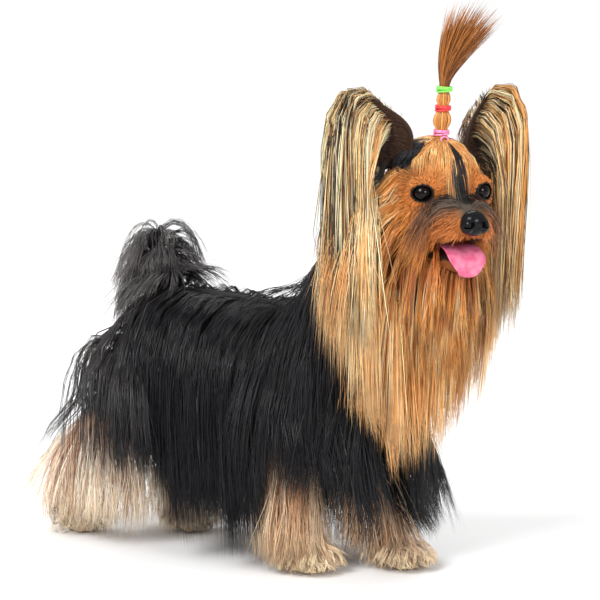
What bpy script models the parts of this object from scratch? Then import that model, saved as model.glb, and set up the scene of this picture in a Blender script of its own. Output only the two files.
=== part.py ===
"""A life-size still model of a long-coated toy terrier, standing with its head turned to its right.

Metres, +Z up, +X towards the dog's front, +Y to its left. The floor is at z = 0.
Every node has a core, the body under the coat, and a coat of flat tapered locks rooted in that core.
"""

import math
import random

import bmesh
import bpy
from mathutils import Matrix, Vector
from mathutils.bvhtree import BVHTree

# Places in the dog's own frame, whose origin is on the floor under the middle of the back.
# CENTRE is the middle of the whole model's outline there, and the model's origin lies on it.
CENTRE = Vector((0.0425, 0.0, 0.0))
KEPT_FACES = 0.84
WELD = 2e-6
MEND_ROUNDS = 8
GAP = 0.0003
CLEAR = 0.0005

TORSO_STATIONS = (
    # along x, middle height, half width, reach up, reach down
    (-0.100, 0.166, 0.024, 0.026, 0.028),
    (-0.088, 0.168, 0.038, 0.037, 0.040),
    (-0.060, 0.169, 0.044, 0.041, 0.041),
    (-0.025, 0.168, 0.043, 0.042, 0.037),
    (0.014, 0.163, 0.045, 0.045, 0.043),
    (0.056, 0.157, 0.048, 0.049, 0.050),
    (0.095, 0.154, 0.047, 0.051, 0.050),
    (0.125, 0.156, 0.041, 0.044, 0.042),
    (0.146, 0.157, 0.028, 0.030, 0.028),
)
TORSO_ENDS = (Vector((-0.108, 0.0, 0.166)), Vector((0.156, 0.0, 0.157)))
TORSO_SIDES = 16

NECK_PATH = (
    Vector((0.105, 0.0, 0.172)),
    Vector((0.132, 0.0, 0.215)),
    Vector((0.162, -0.003, 0.258)),
    Vector((0.190, -0.008, 0.298)),
)
NECK_RADII = ((0.044, 0.050), (0.040, 0.044), (0.034, 0.036), (0.031, 0.030))

HEAD_PLACE = Vector((0.211, -0.0115, 0.315))
HEAD_TURN = math.radians(-28.0)
HEAD = Matrix.Translation(HEAD_PLACE) @ Matrix.Rotation(HEAD_TURN, 4, "Z")
HEAD_SIDE = HEAD.to_3x3() @ Vector((0, 1, 0))
EYE_PLACE = Vector((0.0270, 0.0228, -0.003))
EYE_TURN = math.radians(24.0)
EYE_RADIUS = 0.0098
CORNEA_RADIUS = 0.0078
LID_RADIUS = 0.0122
LID_OPENING = (0.0130, 0.0082, 0.0060)
NOSE_PLACE = Vector((0.0700, 0.0, -0.0228))
NOSE_RADII = (0.0085, 0.0106, 0.0098)

EAR_ROOT = Vector((-0.006, 0.033, 0.014))
EAR_HEIGHT = 0.060
EAR_WIDTH = 0.058
EAR_THICK = 0.0026
EAR_BEND = 1.05

TONGUE_PATH = (
    (0.014, 0, -0.0405),
    (0.034, 0, -0.0425),
    (0.050, 0, -0.0460),
    (0.0590, 0, -0.0525),
    (0.0612, 0, -0.0605),
)
TONGUE_HALVES = (0.0115, 0.0135, 0.0150, 0.0150, 0.0095)
TONGUE_THICK = 0.0042

LEG_SIDE = 0.030
PAW_RADII = (0.020, 0.0145, 0.0125)
FRONT_PAWS = {"right": 0.097, "left": 0.145}
HIND_PAWS = {"right": -0.156, "left": -0.085}
SIDE_SIGNS = {"left": 1, "right": -1}

TAIL_PATH = (
    Vector((-0.068, 0.0, 0.190)),
    Vector((-0.082, 0.0, 0.216)),
    Vector((-0.092, 0.001, 0.240)),
    Vector((-0.090, 0.002, 0.260)),
)
TAIL_RADII = ((0.015, 0.015), (0.014, 0.014), (0.0125, 0.0125), (0.008, 0.008))

KNOT_ACROSS = 0.003
# height above the skull's middle, radius
KNOT_BEADS = (
    (0.029, 0.0120), (0.0345, 0.0085), (0.0383, 0.0040), (0.0437, 0.0040), (0.047, 0.0066),
    (0.051, 0.0070), (0.055, 0.0060), (0.0570, 0.0038), (0.0620, 0.0038), (0.065, 0.0056),
    (0.068, 0.0057), (0.0705, 0.0036), (0.0775, 0.0036),
)
BANDS = {"band_lower": "pink_band", "band_middle": "red_band", "band_upper": "green_band"}
BAND_PLACES = (0.041, 0.0595, 0.074)
BAND_HEIGHT = 0.0045
BAND_INNER = 0.0047
BAND_OUTER = 0.0064

DOWN = Vector((0.0, 0.0, -1.0))
ROOT_DEPTH = 0.004
# how strongly a lock turns at each ring to face the way it is told
OUT_TURN = 0.6
NARROWINGS = 7
RING_SPREAD = 1.25
FLOOR_CLEAR = 0.004
TINY = 1e-5
# how much of its width a lock has at each ring from the root
LOCK_SHAPE = (0.62, 0.92, 1.0, 1.0)
COAT_DEPTH = 0.012
LAYER = 0.0021

# The body coat: tiers of roots by their angle from the top of the back
BACK_TIERS = (
    # count, first and last place along x, angle, clearance
    (13, -0.092, 0.136, 3.0, 0.0155),
    (7, -0.092, 0.136, 66.0, 0.0060),
    (3, 0.070, 0.128, 62.0, 0.0175),
)
HEM_HEIGHTS = (
    # along x, height of the tips
    (-0.12, 0.046),
    (-0.06, 0.040),
    (0.00, 0.028),
    (0.05, 0.022),
    (0.16, 0.022),
)
RUMP_PULL = Vector((-0.10, 0.0, 0.0))
HEM_RISES = {"thigh": 0.030, "front": 0.026}
HEM_RISE_WIDTH = 0.026
THIGH_X = -0.062

FRONT_LEG_TIERS = (
    # count, root height, tip height, flare
    (4, 0.092, 0.034, 0.36),
    (6, 0.052, 0.006, 0.62),
)
HIND_LEG_TIERS = (
    (4, 0.112, 0.050, 0.28),
    (3, 0.080, 0.026, 0.34),
    (6, 0.048, 0.006, 0.52),
)

# The golden fall: rings of roots round the neck
FALL_RINGS = (
    # middle of the ring, count, clearance in front, tip height in front, tip height behind
    ((0.184, -0.007, 0.286), 9, 0.0145, 0.112, 0.215),
    ((0.163, -0.003, 0.252), 10, 0.0100, 0.100, 0.195),
    ((0.146, 0.000, 0.218), 8, 0.0050, 0.098, 0.178),
)
CHEST_LOCKS = 4
NAPE_LOCKS = 4
FALL_AXIS = (0.172, 0.004)
FALL_GATHER = 3.2

BLACK = (0.012, 0.012, 0.014)
GOLD = (0.52, 0.25, 0.09)
TAN = (0.60, 0.38, 0.20)
DARK_GREY = (0.045, 0.045, 0.05)


def clear_scene():
    for obj in list(bpy.data.objects):
        bpy.data.objects.remove(obj)


def material(name, colour, roughness, metallic=0.0):
    """A plain Principled material with this base colour."""
    made = bpy.data.materials.new(name)
    made.use_nodes = True
    shader = made.node_tree.nodes["Principled BSDF"]
    shader.inputs["Base Color"].default_value = (*colour, 1.0)
    shader.inputs["Roughness"].default_value = roughness
    shader.inputs["Metallic"].default_value = metallic
    made.diffuse_color = (*colour, 1.0)
    return made


def object_of(name, bm):
    """A scene object from bm, with its faces turned outwards."""
    bmesh.ops.recalc_face_normals(bm, faces=bm.faces[:])
    mesh = bpy.data.meshes.new(name)
    bm.to_mesh(mesh)
    bm.free()
    obj = bpy.data.objects.new(name, mesh)
    bpy.context.scene.collection.objects.link(obj)
    return obj


def smooth_values(values, steps):
    """Points on a Catmull-Rom curve through values, steps to each span."""
    ends = [values[0] * 2 - values[1], *values, values[-1] * 2 - values[-2]]
    found = []
    for i in range(1, len(ends) - 2):
        before, start, end, after = ends[i - 1 : i + 3]
        for k in range(steps):
            t = k / steps
            found.append(
                0.5
                * (
                    start * 2
                    + (end - before) * t
                    + (before * 2 - start * 5 + end * 4 - after) * t**2
                    + (start * 3 - before - end * 3 + after) * t**3
                )
            )
    found.append(values[-1])
    return found


def ring(centre, side, up, half_width, reach_up, reach_down, count):
    """Points round an oval whose upper and lower halves may differ."""
    found = []
    for k in range(count):
        angle = 2 * math.pi * k / count
        rise = math.sin(angle)
        reach = reach_up if rise > 0 else reach_down
        found.append(centre + side * (half_width * math.cos(angle)) + up * (reach * rise))
    return found


def sweep(name, rings, ends):
    """A closed skin through the rings, drawn to a point at each end."""
    bm = bmesh.new()
    loops = [[bm.verts.new(point) for point in points] for points in rings]
    count = len(rings[0])
    for lower, upper in zip(loops, loops[1:]):
        for k in range(count):
            j = (k + 1) % count
            bm.faces.new((lower[k], lower[j], upper[j], upper[k]))
    for loop, end in ((loops[0], ends[0]), (loops[-1], ends[1])):
        tip = bm.verts.new(end)
        for k in range(count):
            bm.faces.new((loop[k], loop[(k + 1) % count], tip))
    return object_of(name, bm)


def tube(name, path, radii, count=10, steps=2, grow=0.0, side_hint=Vector((0, 1, 0)), round_ends=0.6):
    """A bent limb: rings across a smooth path, with rounded ends."""
    points = smooth_values(list(path), steps)
    sizes = smooth_values([Vector(pair) for pair in radii], steps)
    rings = []
    for i, point in enumerate(points):
        ahead = points[min(i + 1, len(points) - 1)] - points[max(i - 1, 0)]
        ahead.normalize()
        side = (side_hint - ahead * side_hint.dot(ahead)).normalized()
        up = ahead.cross(side)
        rings.append(
            ring(point, side, up, sizes[i].x + grow, sizes[i].y + grow, sizes[i].y + grow, count)
        )
    first = (points[0] - points[1]).normalized() * (round_ends * (sizes[0].x + grow))
    last = (points[-1] - points[-2]).normalized() * (round_ends * (sizes[-1].x + grow))
    return sweep(name, rings, (points[0] + first, points[-1] + last))


def ball(name, centre, radii, count=14, rows=8, grow=0.0, place=Matrix.Identity(4)):
    """An ellipsoid, in the frame that place gives."""
    bm = bmesh.new()
    bmesh.ops.create_uvsphere(bm, u_segments=count, v_segments=rows, radius=1.0)
    sizes = Matrix.Diagonal((radii[0] + grow, radii[1] + grow, radii[2] + grow, 1.0))
    bmesh.ops.transform(bm, matrix=place @ Matrix.Translation(centre) @ sizes, verts=bm.verts[:])
    return object_of(name, bm)


def block(name, low, high, place=Matrix.Identity(4)):
    """A box between two corners, used to cut with."""
    bm = bmesh.new()
    bmesh.ops.create_cube(bm, size=1.0)
    low, high = Vector(low), Vector(high)
    sizes = Matrix.Diagonal((*(high - low), 1.0))
    bmesh.ops.transform(bm, matrix=place @ Matrix.Translation((low + high) / 2) @ sizes, verts=bm.verts[:])
    return object_of(name, bm)


def applied(obj):
    """Puts the result of an object's modifiers in place of its mesh."""
    bpy.context.view_layer.update()
    graph = bpy.context.evaluated_depsgraph_get()
    made = bpy.data.meshes.new_from_object(obj.evaluated_get(graph))
    obj.modifiers.clear()
    obj.data = made
    return obj


def boolean(obj, others, operation):
    """Applies one Boolean of obj with all the others, which are then removed."""
    if not others:
        return obj
    group = bpy.data.collections.new("operands")
    for other in others:
        group.objects.link(other)
    modifier = obj.modifiers.new(operation, "BOOLEAN")
    modifier.operation = operation
    modifier.operand_type = "COLLECTION"
    modifier.collection = group
    modifier.solver = "MANIFOLD"
    applied(obj)
    for other in others:
        bpy.data.objects.remove(other)
    bpy.data.collections.remove(group)
    return obj


def fused(name, pieces):
    """One object from overlapping closed pieces."""
    first = pieces[0]
    first.name = name
    return boolean(first, pieces[1:], "UNION")


def keep_largest(obj):
    """Drops every closed surface of obj but the one that holds the most."""
    bm = bmesh.new()
    bm.from_mesh(obj.data)
    waiting = set(bm.faces)
    shells = []
    while waiting:
        seed = waiting.pop()
        shell, edge_faces = [seed], [seed]
        while edge_faces:
            face = edge_faces.pop()
            for edge in face.edges:
                for other in edge.link_faces:
                    if other in waiting:
                        waiting.remove(other)
                        shell.append(other)
                        edge_faces.append(other)
        shells.append(shell)

    def held(shell):
        total = 0.0
        for face in shell:
            corners = [loop.vert.co for loop in face.loops]
            for k in range(1, len(corners) - 1):
                total += corners[0].dot(corners[k].cross(corners[k + 1]))
        return total

    largest = max(shells, key=held)
    dropped = [face for shell in shells if shell is not largest for face in shell]
    bmesh.ops.delete(bm, geom=dropped, context="FACES")
    bm.to_mesh(obj.data)
    bm.free()
    return obj


def mend(obj):
    """Welds slivers, and reopens and closes again the spots where the skin touches itself."""
    bm = bmesh.new()
    bm.from_mesh(obj.data)
    bmesh.ops.triangulate(bm, faces=bm.faces[:])
    for _ in range(MEND_ROUNDS):
        bmesh.ops.remove_doubles(bm, verts=bm.verts[:], dist=WELD)
        bmesh.ops.dissolve_degenerate(bm, edges=bm.edges[:], dist=WELD)
        touching = {vert for edge in bm.edges if len(edge.link_faces) != 2 for vert in edge.verts}
        touching |= {vert for vert in bm.verts if not vert.is_manifold}
        if not touching:
            break
        faces = {face for vert in touching for face in vert.link_faces}
        bmesh.ops.delete(bm, geom=list(faces), context="FACES")
        rims = [edge for edge in bm.edges if edge.is_boundary]
        patches = bmesh.ops.holes_fill(bm, edges=rims, sides=0)["faces"]
        bmesh.ops.poke(bm, faces=patches)
        bmesh.ops.recalc_face_normals(bm, faces=bm.faces[:])
    bm.to_mesh(obj.data)
    bm.free()
    return obj


def simplify(obj):
    """Collapses the vertices that a Boolean has left on flats and straight edges."""
    modifier = obj.modifiers.new("collapse", "DECIMATE")
    modifier.ratio = KEPT_FACES
    modifier.use_collapse_triangulate = True
    return applied(obj)


def lock(path, outs, width, thick, grow=0.0):
    """A flat tapered lock along path: three-sided rings, their ridge outwards, drawn to a tip."""
    bm = bmesh.new()
    count = len(path) - 1
    loops = []
    out = outs[0]
    for i in range(count):
        ahead = (path[i + 1] - path[max(i - 1, 0)]).normalized()
        out = out + outs[i] * OUT_TURN
        out = (out - ahead * out.dot(ahead)).normalized()
        side = ahead.cross(out)
        swell = LOCK_SHAPE[min(i, len(LOCK_SHAPE) - 1)] * (0.68 if i == count - 1 else 1.0)
        half = width / 2 * swell + grow * 4
        rise = thick * swell + grow * 1.2
        base = path[i] - out * grow
        corners = (base - side * half, base + side * half, path[i] + out * rise)
        loops.append([bm.verts.new(corner) for corner in corners])
    tip = bm.verts.new(path[-1] + (path[-1] - path[-2]).normalized() * grow * 4)
    for lower, upper in zip(loops, loops[1:]):
        for k in range(3):
            j = (k + 1) % 3
            bm.faces.new((lower[k], lower[j], upper[j]))
            bm.faces.new((lower[k], upper[j], upper[k]))
    bm.faces.new(loops[0])
    for k in range(3):
        bm.faces.new((loops[-1][k], loops[-1][(k + 1) % 3], tip))
    return object_of("lock", bm)


def crosses_itself(piece):
    """Whether two faces of a piece that share no corner meet; the piece is removed."""
    bm = bmesh.new()
    bm.from_mesh(piece.data)
    bpy.data.objects.remove(piece)
    corners = [{vert.index for vert in face.verts} for face in bm.faces]
    tree = BVHTree.FromBMesh(bm)
    bm.free()
    return any(not corners[a] & corners[b] for a, b in tree.overlap(tree))


def settled(specs):
    """The same locks, each made narrow enough for its bends, or left out."""
    found = []
    for path, outs, width, thick in specs:
        for _ in range(NARROWINGS):
            if not crosses_itself(lock(path, outs, width, thick, CLEAR)):
                found.append((path, outs, width, thick))
                break
            width *= 0.85
    return found


def surface_tree(pieces):
    """A search tree over the outside of these pieces, which are removed."""
    bm = bmesh.new()
    for piece in pieces:
        bm.from_mesh(piece.data)
        bpy.data.objects.remove(piece)
    bmesh.ops.triangulate(bm, faces=bm.faces[:])
    tree = BVHTree.FromBMesh(bm)
    bm.free()
    return tree


def off_surface(tree, point):
    """How far a point stands off the surface that tree holds, the nearest place and the way out."""
    near, face, _, _ = tree.find_nearest(point)
    offset = point - near
    if offset.length < TINY:
        return 0.0, near, face
    sign = 1 if offset.dot(face) > 0 else -1
    return offset.length * sign, near, offset.normalized() * sign


def drape(root, normal, way, length, tree, clear, weight, rings=5, pull=Vector()):
    """The path of a lock and its outward directions: it sets out along way and sinks under its
    own weight, and the body that tree holds carries it at the clearance."""
    count = max(rings * 3, round(length / 0.007))
    step = length / count
    marks = [round(count * ((i + 1) / rings) ** RING_SPREAD) for i in range(rings)]
    point = root + normal * clear * 0.3
    heading = way.normalized()
    out = normal
    path, outs = [root - normal * ROOT_DEPTH], [normal]
    for k in range(1, count + 1):
        heading = (heading + (DOWN + pull) * (weight * step / 0.01)).normalized()
        ahead = point + heading * step
        for _ in range(3):
            lift, near, face = off_surface(tree, ahead)
            reach = clear * min(1.0, 0.3 + k * step / 0.012)
            if lift >= reach - TINY:
                break
            ahead = near + face * reach
            heading = (heading - face * min(heading.dot(face), 0.0)).normalized()
            out = (out + face * 0.7).normalized()
        ahead.z = max(ahead.z, FLOOR_CLEAR)
        point = ahead
        if k in marks:
            path.append(point.copy())
            outs.append(out.copy())
    return path, outs


def hang(root, normal, way, tip, tree, clear, weight, rings=5, pull=Vector()):
    """A draped path whose end comes down to the height tip."""
    length = root.z - tip
    found = []
    for _ in range(4):
        found.append(drape(root, normal, way, length, tree, clear, weight, rings, pull))
        length = min(length + found[-1][0][-1].z - tip, (root.z - tip) * 1.4)
    return min(found, key=lambda pair: abs(pair[0][-1].z - tip))


def rooted(tree, start, way):
    """Where a ray from inside the body leaves it, and the outward direction there."""
    way = way.normalized()
    point, normal, _, _ = tree.ray_cast(start + way * 0.2, -way)
    return point, normal


def strands(specs, grow=0.0):
    """The locks that these paths, outward directions, widths and thicknesses give."""
    return [lock(path, outs, width, thick, grow) for path, outs, width, thick in specs]


def torso_core(grow=0.0):
    """The trunk under the coat, from the breast bone to the buttocks."""
    stations = smooth_values([Vector((x, z, w)) for x, z, w, up, down in TORSO_STATIONS], 1)
    reaches = smooth_values([Vector((up, down)) for x, z, w, up, down in TORSO_STATIONS], 1)
    rings = []
    for station, reach in zip(stations, reaches):
        middle = Vector((station.x, 0.0, station.y))
        across, up = Vector((0, 1, 0)), Vector((0, 0, 1))
        rings.append(
            ring(middle, across, up, station.z + grow, reach.x + grow, reach.y + grow, TORSO_SIDES)
        )
    ends = (TORSO_ENDS[0] - Vector((grow, 0, 0)), TORSO_ENDS[1] + Vector((grow, 0, 0)))
    return [sweep("torso_core", rings, ends)]


def neck_core(grow=0.0):
    return [tube("neck_core", NECK_PATH, NECK_RADII, count=12, steps=1, grow=grow)]


def eye_frame(sign):
    """Where an eye sits; its own X axis is the way it looks."""
    centre = HEAD @ Vector((EYE_PLACE.x, EYE_PLACE.y * sign, EYE_PLACE.z))
    look = HEAD.to_3x3() @ Vector((math.cos(EYE_TURN), math.sin(EYE_TURN) * sign, 0.04))
    return Matrix.Translation(centre) @ look.to_track_quat("X", "Z").to_matrix().to_4x4()


def skull_pieces(grow=0.0):
    """The round skull, brow, cheeks, lids and short muzzle down to the upper lips."""
    pieces = [
        ball("cranium", (-0.002, 0.0, 0.0), (0.041, 0.036, 0.034), 14, 8, grow, HEAD),
        ball("forehead", (0.017, 0.0, 0.003), (0.022, 0.0290, 0.025), 12, 6, grow, HEAD),
    ]
    for sign in (1, -1):
        pieces.append(ball("cheek", (0.008, 0.019 * sign, -0.019), (0.025, 0.017, 0.018), 8, 6, grow, HEAD))
        pieces.append(ball("lids", (0, 0, 0), (LID_RADIUS,) * 3, 11, 7, grow, eye_frame(sign)))
        lip = (0.046, 0.0105 * sign, -0.0300)
        pieces.append(ball("upper_lip", lip, (0.0205, 0.0105, 0.0095), 8, 5, grow, HEAD))
    places = ((0.018, 0, -0.015), (0.040, 0, -0.0180), (0.057, 0, -0.0215), (0.067, 0, -0.0250))
    path = [HEAD @ Vector(place) for place in places]
    radii = ((0.023, 0.019), (0.0195, 0.0145), (0.0170, 0.0115), (0.0130, 0.0085))
    pieces.append(tube("muzzle", path, radii, 10, 1, grow, HEAD_SIDE, 0.35))
    return pieces


def lid_openings():
    """The almond cut through each pair of lids."""
    return [ball("opening", (0.0105, 0, 0), LID_OPENING, 10, 5, 0.0, eye_frame(sign)) for sign in (1, -1)]


def lip_groove():
    """The cleft under the nose that parts the upper lips."""
    return [block("groove", (0.058, -0.0005, -0.0450), (0.080, 0.0005, -0.0300), HEAD)]


def jaw_pieces(grow=0.0):
    """The open lower jaw, from the cheeks to the chin."""
    places = ((0.000, 0, -0.036), (0.022, 0, -0.0475), (0.040, 0, -0.0550), (0.050, 0, -0.0580))
    path = [HEAD @ Vector(place) for place in places]
    radii = ((0.023, 0.0120), (0.0195, 0.0088), (0.0160, 0.0068), (0.0105, 0.0055))
    return [tube("jaw", path, radii, 10, 1, grow, HEAD_SIDE, 0.5)]


def tongue_pieces(grow=0.0):
    """A broad tongue, grooved along its middle, that lies on the jaw and droops over its front."""
    path = smooth_values([HEAD @ Vector(p) for p in TONGUE_PATH], 2)
    halves = smooth_values([Vector((half, 0)) for half in TONGUE_HALVES], 2)
    rings = []
    for i, point in enumerate(path):
        ahead = (path[min(i + 1, len(path) - 1)] - path[max(i - 1, 0)]).normalized()
        up = ahead.cross(HEAD_SIDE)
        reach = TONGUE_THICK / 2 + grow
        points = ring(point, HEAD_SIDE, up, halves[i].x + grow, reach, reach, 12)
        for k in (3, 9):
            points[k] -= up * (TONGUE_THICK * 0.32)
        rings.append(points)
    tip = path[-1] + (path[-1] - path[-2]).normalized() * (0.0035 + grow)
    root = path[0] + (path[0] - path[1]).normalized() * (0.0035 + grow)
    return [sweep("tongue", rings, (root, tip))]


def nose_pieces(grow=0.0):
    """The leather of the nose: its pad and two wings."""
    pieces = [ball("nose", NOSE_PLACE, NOSE_RADII, 10, 7, grow, HEAD)]
    for sign in (1, -1):
        centre = NOSE_PLACE + Vector((0.0015, 0.0062 * sign, -0.0018))
        pieces.append(ball("wing", centre, (0.0070, 0.0050, 0.0064), 6, 5, grow, HEAD))
    return pieces


def nostrils():
    """The two comma-shaped openings, their side slits and the line between them."""
    pieces = []
    for sign in (1, -1):
        hole = NOSE_PLACE + Vector((0.0085, 0.0046 * sign, -0.0008))
        pieces.append(ball("nostril", hole, (0.0045, 0.0022, 0.0026), 6, 4, 0.0, HEAD))
        slit = NOSE_PLACE + Vector((0.0068, 0.0080 * sign, -0.0030))
        pieces.append(ball("slit", slit, (0.0036, 0.0042, 0.0010), 6, 4, 0.0, HEAD))
    low = NOSE_PLACE + Vector((0.0072, -0.0004, -0.0120))
    pieces.append(block("line", low, NOSE_PLACE + Vector((0.0120, 0.0004, -0.0020)), HEAD))
    return pieces


def eyeball(sign, grow=0.0):
    """The globe that a socket is cut for."""
    return [ball("eye", (0, 0, 0), (EYE_RADIUS,) * 3, 12, 7, grow, eye_frame(sign))]


def eye_pieces(sign):
    """An eyeball with its clear front standing a little proud."""
    cornea = ball("cornea", (0.0029, 0, 0), (CORNEA_RADIUS,) * 3, 10, 6, 0.0, eye_frame(sign))
    return eyeball(sign) + [cornea]


def paw_pieces(x, y, grow=0.0):
    """A small round foot of four toes over a pad."""
    pieces = [ball("paw", (x, y, 0.0105), PAW_RADII, 9, 5, grow)]
    for k, across in enumerate((-0.0095, -0.0035, 0.0035, 0.0095)):
        ahead = 0.0130 if k in (1, 2) else 0.0090
        pieces.append(ball("toe", (x + ahead, y + across, 0.0070), (0.0090, 0.0042, 0.0075), 6, 4, grow))
    return pieces


def front_leg_path(side):
    sign = SIDE_SIGNS[side]
    lean = FRONT_PAWS[side] - 0.110
    return (
        Vector((0.104 + lean * 0.15, 0.034 * sign, 0.140)),
        Vector((0.088 + lean * 0.25, 0.038 * sign, 0.108)),
        Vector((0.092 + lean * 0.6, 0.035 * sign, 0.070)),
        Vector((0.100 + lean, 0.031 * sign, 0.034)),
        Vector((0.104 + lean, 0.030 * sign, 0.012)),
    )


def front_leg_pieces(side, grow=0.0):
    radii = ((0.020, 0.024), (0.0155, 0.018), (0.0125, 0.0135), (0.0115, 0.0115), (0.0115, 0.0115))
    shank = tube("shank", front_leg_path(side), radii, 9, 1, grow)
    return [shank] + paw_pieces(FRONT_PAWS[side], LEG_SIDE * SIDE_SIGNS[side], grow)


def hind_leg_path(side):
    sign = SIDE_SIGNS[side]
    lean = HIND_PAWS[side] + 0.120
    return (
        Vector((-0.088, 0.030 * sign, 0.152)),
        Vector((-0.078 + lean * 0.55, 0.040 * sign, 0.110)),
        Vector((-0.112 + lean * 0.8, 0.038 * sign, 0.078)),
        Vector((-0.137 + lean, 0.034 * sign, 0.052)),
        Vector((-0.130 + lean, 0.031 * sign, 0.014)),
    )


def hind_leg_pieces(side, grow=0.0):
    radii = ((0.026, 0.036), (0.021, 0.027), (0.0150, 0.0175), (0.0110, 0.0120), (0.0115, 0.0115))
    shank = tube("shank", hind_leg_path(side), radii, 9, 1, grow)
    return [shank] + paw_pieces(HIND_PAWS[side], LEG_SIDE * SIDE_SIGNS[side], grow)


def tail_core(grow=0.0):
    return [tube("tail_core", TAIL_PATH, TAIL_RADII, count=8, steps=1, grow=grow)]


def ear_frame(sign):
    """The upright ear's root, its way up, its way across and the way its cup faces."""
    up = Vector((-0.12, 0.36 * sign, 1.0)).normalized()
    face = Vector((0.86, 0.50 * sign, 0.0))
    face = (face - up * face.dot(up)).normalized()
    return Vector((EAR_ROOT.x, EAR_ROOT.y * sign, EAR_ROOT.z)), up, up.cross(face) * sign, face


def ear_point(sign, t, s, out=0.0):
    """A point on the ear's middle sheet: t runs from root to tip, s from the inner rim to the outer one."""
    root, up, across, face = ear_frame(sign)
    swell = 0.60 + 0.42 * math.sin(math.pi * min(t / 0.80, 1.0))
    half = EAR_WIDTH / 2 * swell * math.sqrt(1 - 0.97 * t**2.4)
    bend = EAR_BEND * (1 - 0.45 * t)
    turn = s * bend
    sideways = math.sin(turn) / bend * half
    forward = (1 - math.cos(turn)) / bend * half
    point = root + up * (EAR_HEIGHT * t) + across * sideways + face * (forward - 0.006 * (1 - t))
    return point + (across * math.sin(turn) - face * math.cos(turn)) * out


def ear_pieces(sign, grow=0.0):
    """A thin leaf bent into a cup, with a rounded tip."""
    rows, columns = 7, 6
    bm = bmesh.new()
    sheets = []
    for way in (-1, 1):
        out = (EAR_THICK / 2 + grow) * way
        sheet = []
        for i in range(rows + 1):
            line = [ear_point(sign, i / rows, 2 * j / columns - 1, out) for j in range(columns + 1)]
            sheet.append([bm.verts.new(HEAD @ point) for point in line])
        sheets.append(sheet)
    front, rear = sheets
    for i in range(rows):
        for j in range(columns):
            bm.faces.new((front[i][j], front[i][j + 1], front[i + 1][j + 1]))
            bm.faces.new((front[i][j], front[i + 1][j + 1], front[i + 1][j]))
            bm.faces.new((rear[i][j], rear[i + 1][j + 1], rear[i][j + 1]))
            bm.faces.new((rear[i][j], rear[i + 1][j], rear[i + 1][j + 1]))
    for i in range(rows):
        for j in (0, columns):
            bm.faces.new((front[i][j], rear[i][j], rear[i + 1][j], front[i + 1][j]))
    for j in range(columns):
        for i in (0, rows):
            bm.faces.new((front[i][j], front[i][j + 1], rear[i][j + 1], rear[i][j]))
    return [object_of("ear", bm)]


def topknot_pieces(grow=0.0):
    """Hair gathered from the forehead, tied in two beads."""
    path = [HEAD @ Vector((0.005, KNOT_ACROSS + 0.07 * (z - 0.041), z)) for z, radius in KNOT_BEADS]
    radii = [(radius, radius) for z, radius in KNOT_BEADS]
    return [tube("beads", path, radii, 8, 1, grow, round_ends=0.4)]


def hoop(name, z, grow=0.0):
    """A band round a waist of the topknot."""
    count = 9
    low, high = z - BAND_HEIGHT / 2 - grow, z + BAND_HEIGHT / 2 + grow
    inner, outer = BAND_INNER - grow, BAND_OUTER + grow
    middle = (inner + outer) / 2
    shoulder = BAND_HEIGHT / 4
    profile = (
        (inner, low),
        (middle, low),
        (outer, z - shoulder),
        (outer, z + shoulder),
        (middle, high),
        (inner, high),
    )
    across = KNOT_ACROSS + 0.07 * (z - 0.041)
    bm = bmesh.new()
    loops = []
    for k in range(count):
        angle = 2 * math.pi * k / count
        loop = []
        for r, h in profile:
            point = Vector((0.005 + r * math.cos(angle), across + r * math.sin(angle), h))
            loop.append(bm.verts.new(HEAD @ point))
        loops.append(loop)
    for k in range(count):
        this, following = loops[k], loops[(k + 1) % count]
        for j in range(len(profile)):
            i = (j + 1) % len(profile)
            bm.faces.new((this[j], this[i], following[i], following[j]))
    return [object_of(name, bm)]


def along(values, place):
    """The value at a place on a line of (place, value) pairs."""
    if place <= values[0][0]:
        return values[0][1]
    for (start, low), (end, high) in zip(values, values[1:]):
        if place <= end:
            return low + (high - low) * (place - start) / (end - start)
    return values[-1][1]


def hem_height(x, side):
    """Where the body coat ends: it parts over the thigh and the front leg."""
    height = along(HEM_HEIGHTS, x)
    for middle, rise in ((THIGH_X, HEM_RISES["thigh"]), (FRONT_PAWS[side] - 0.004, HEM_RISES["front"])):
        height += rise * math.exp(-(((x - middle) / HEM_RISE_WIDTH) ** 2))
    return height


def torso_half(sign, grow=0.0):
    """One side of the trunk, parted along the spine."""
    cutter = block("other_side", (-1, -1, -1), (1, 1, 1))
    cutter.location.y = -sign * (1 - GAP / 2 + grow)
    return [boolean(torso_core(grow)[0], [cutter], "DIFFERENCE")]


def outside(tree, point, margin):
    """Whether a point lies further than the margin outside what tree holds."""
    return off_surface(tree, point)[0] > margin


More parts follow.
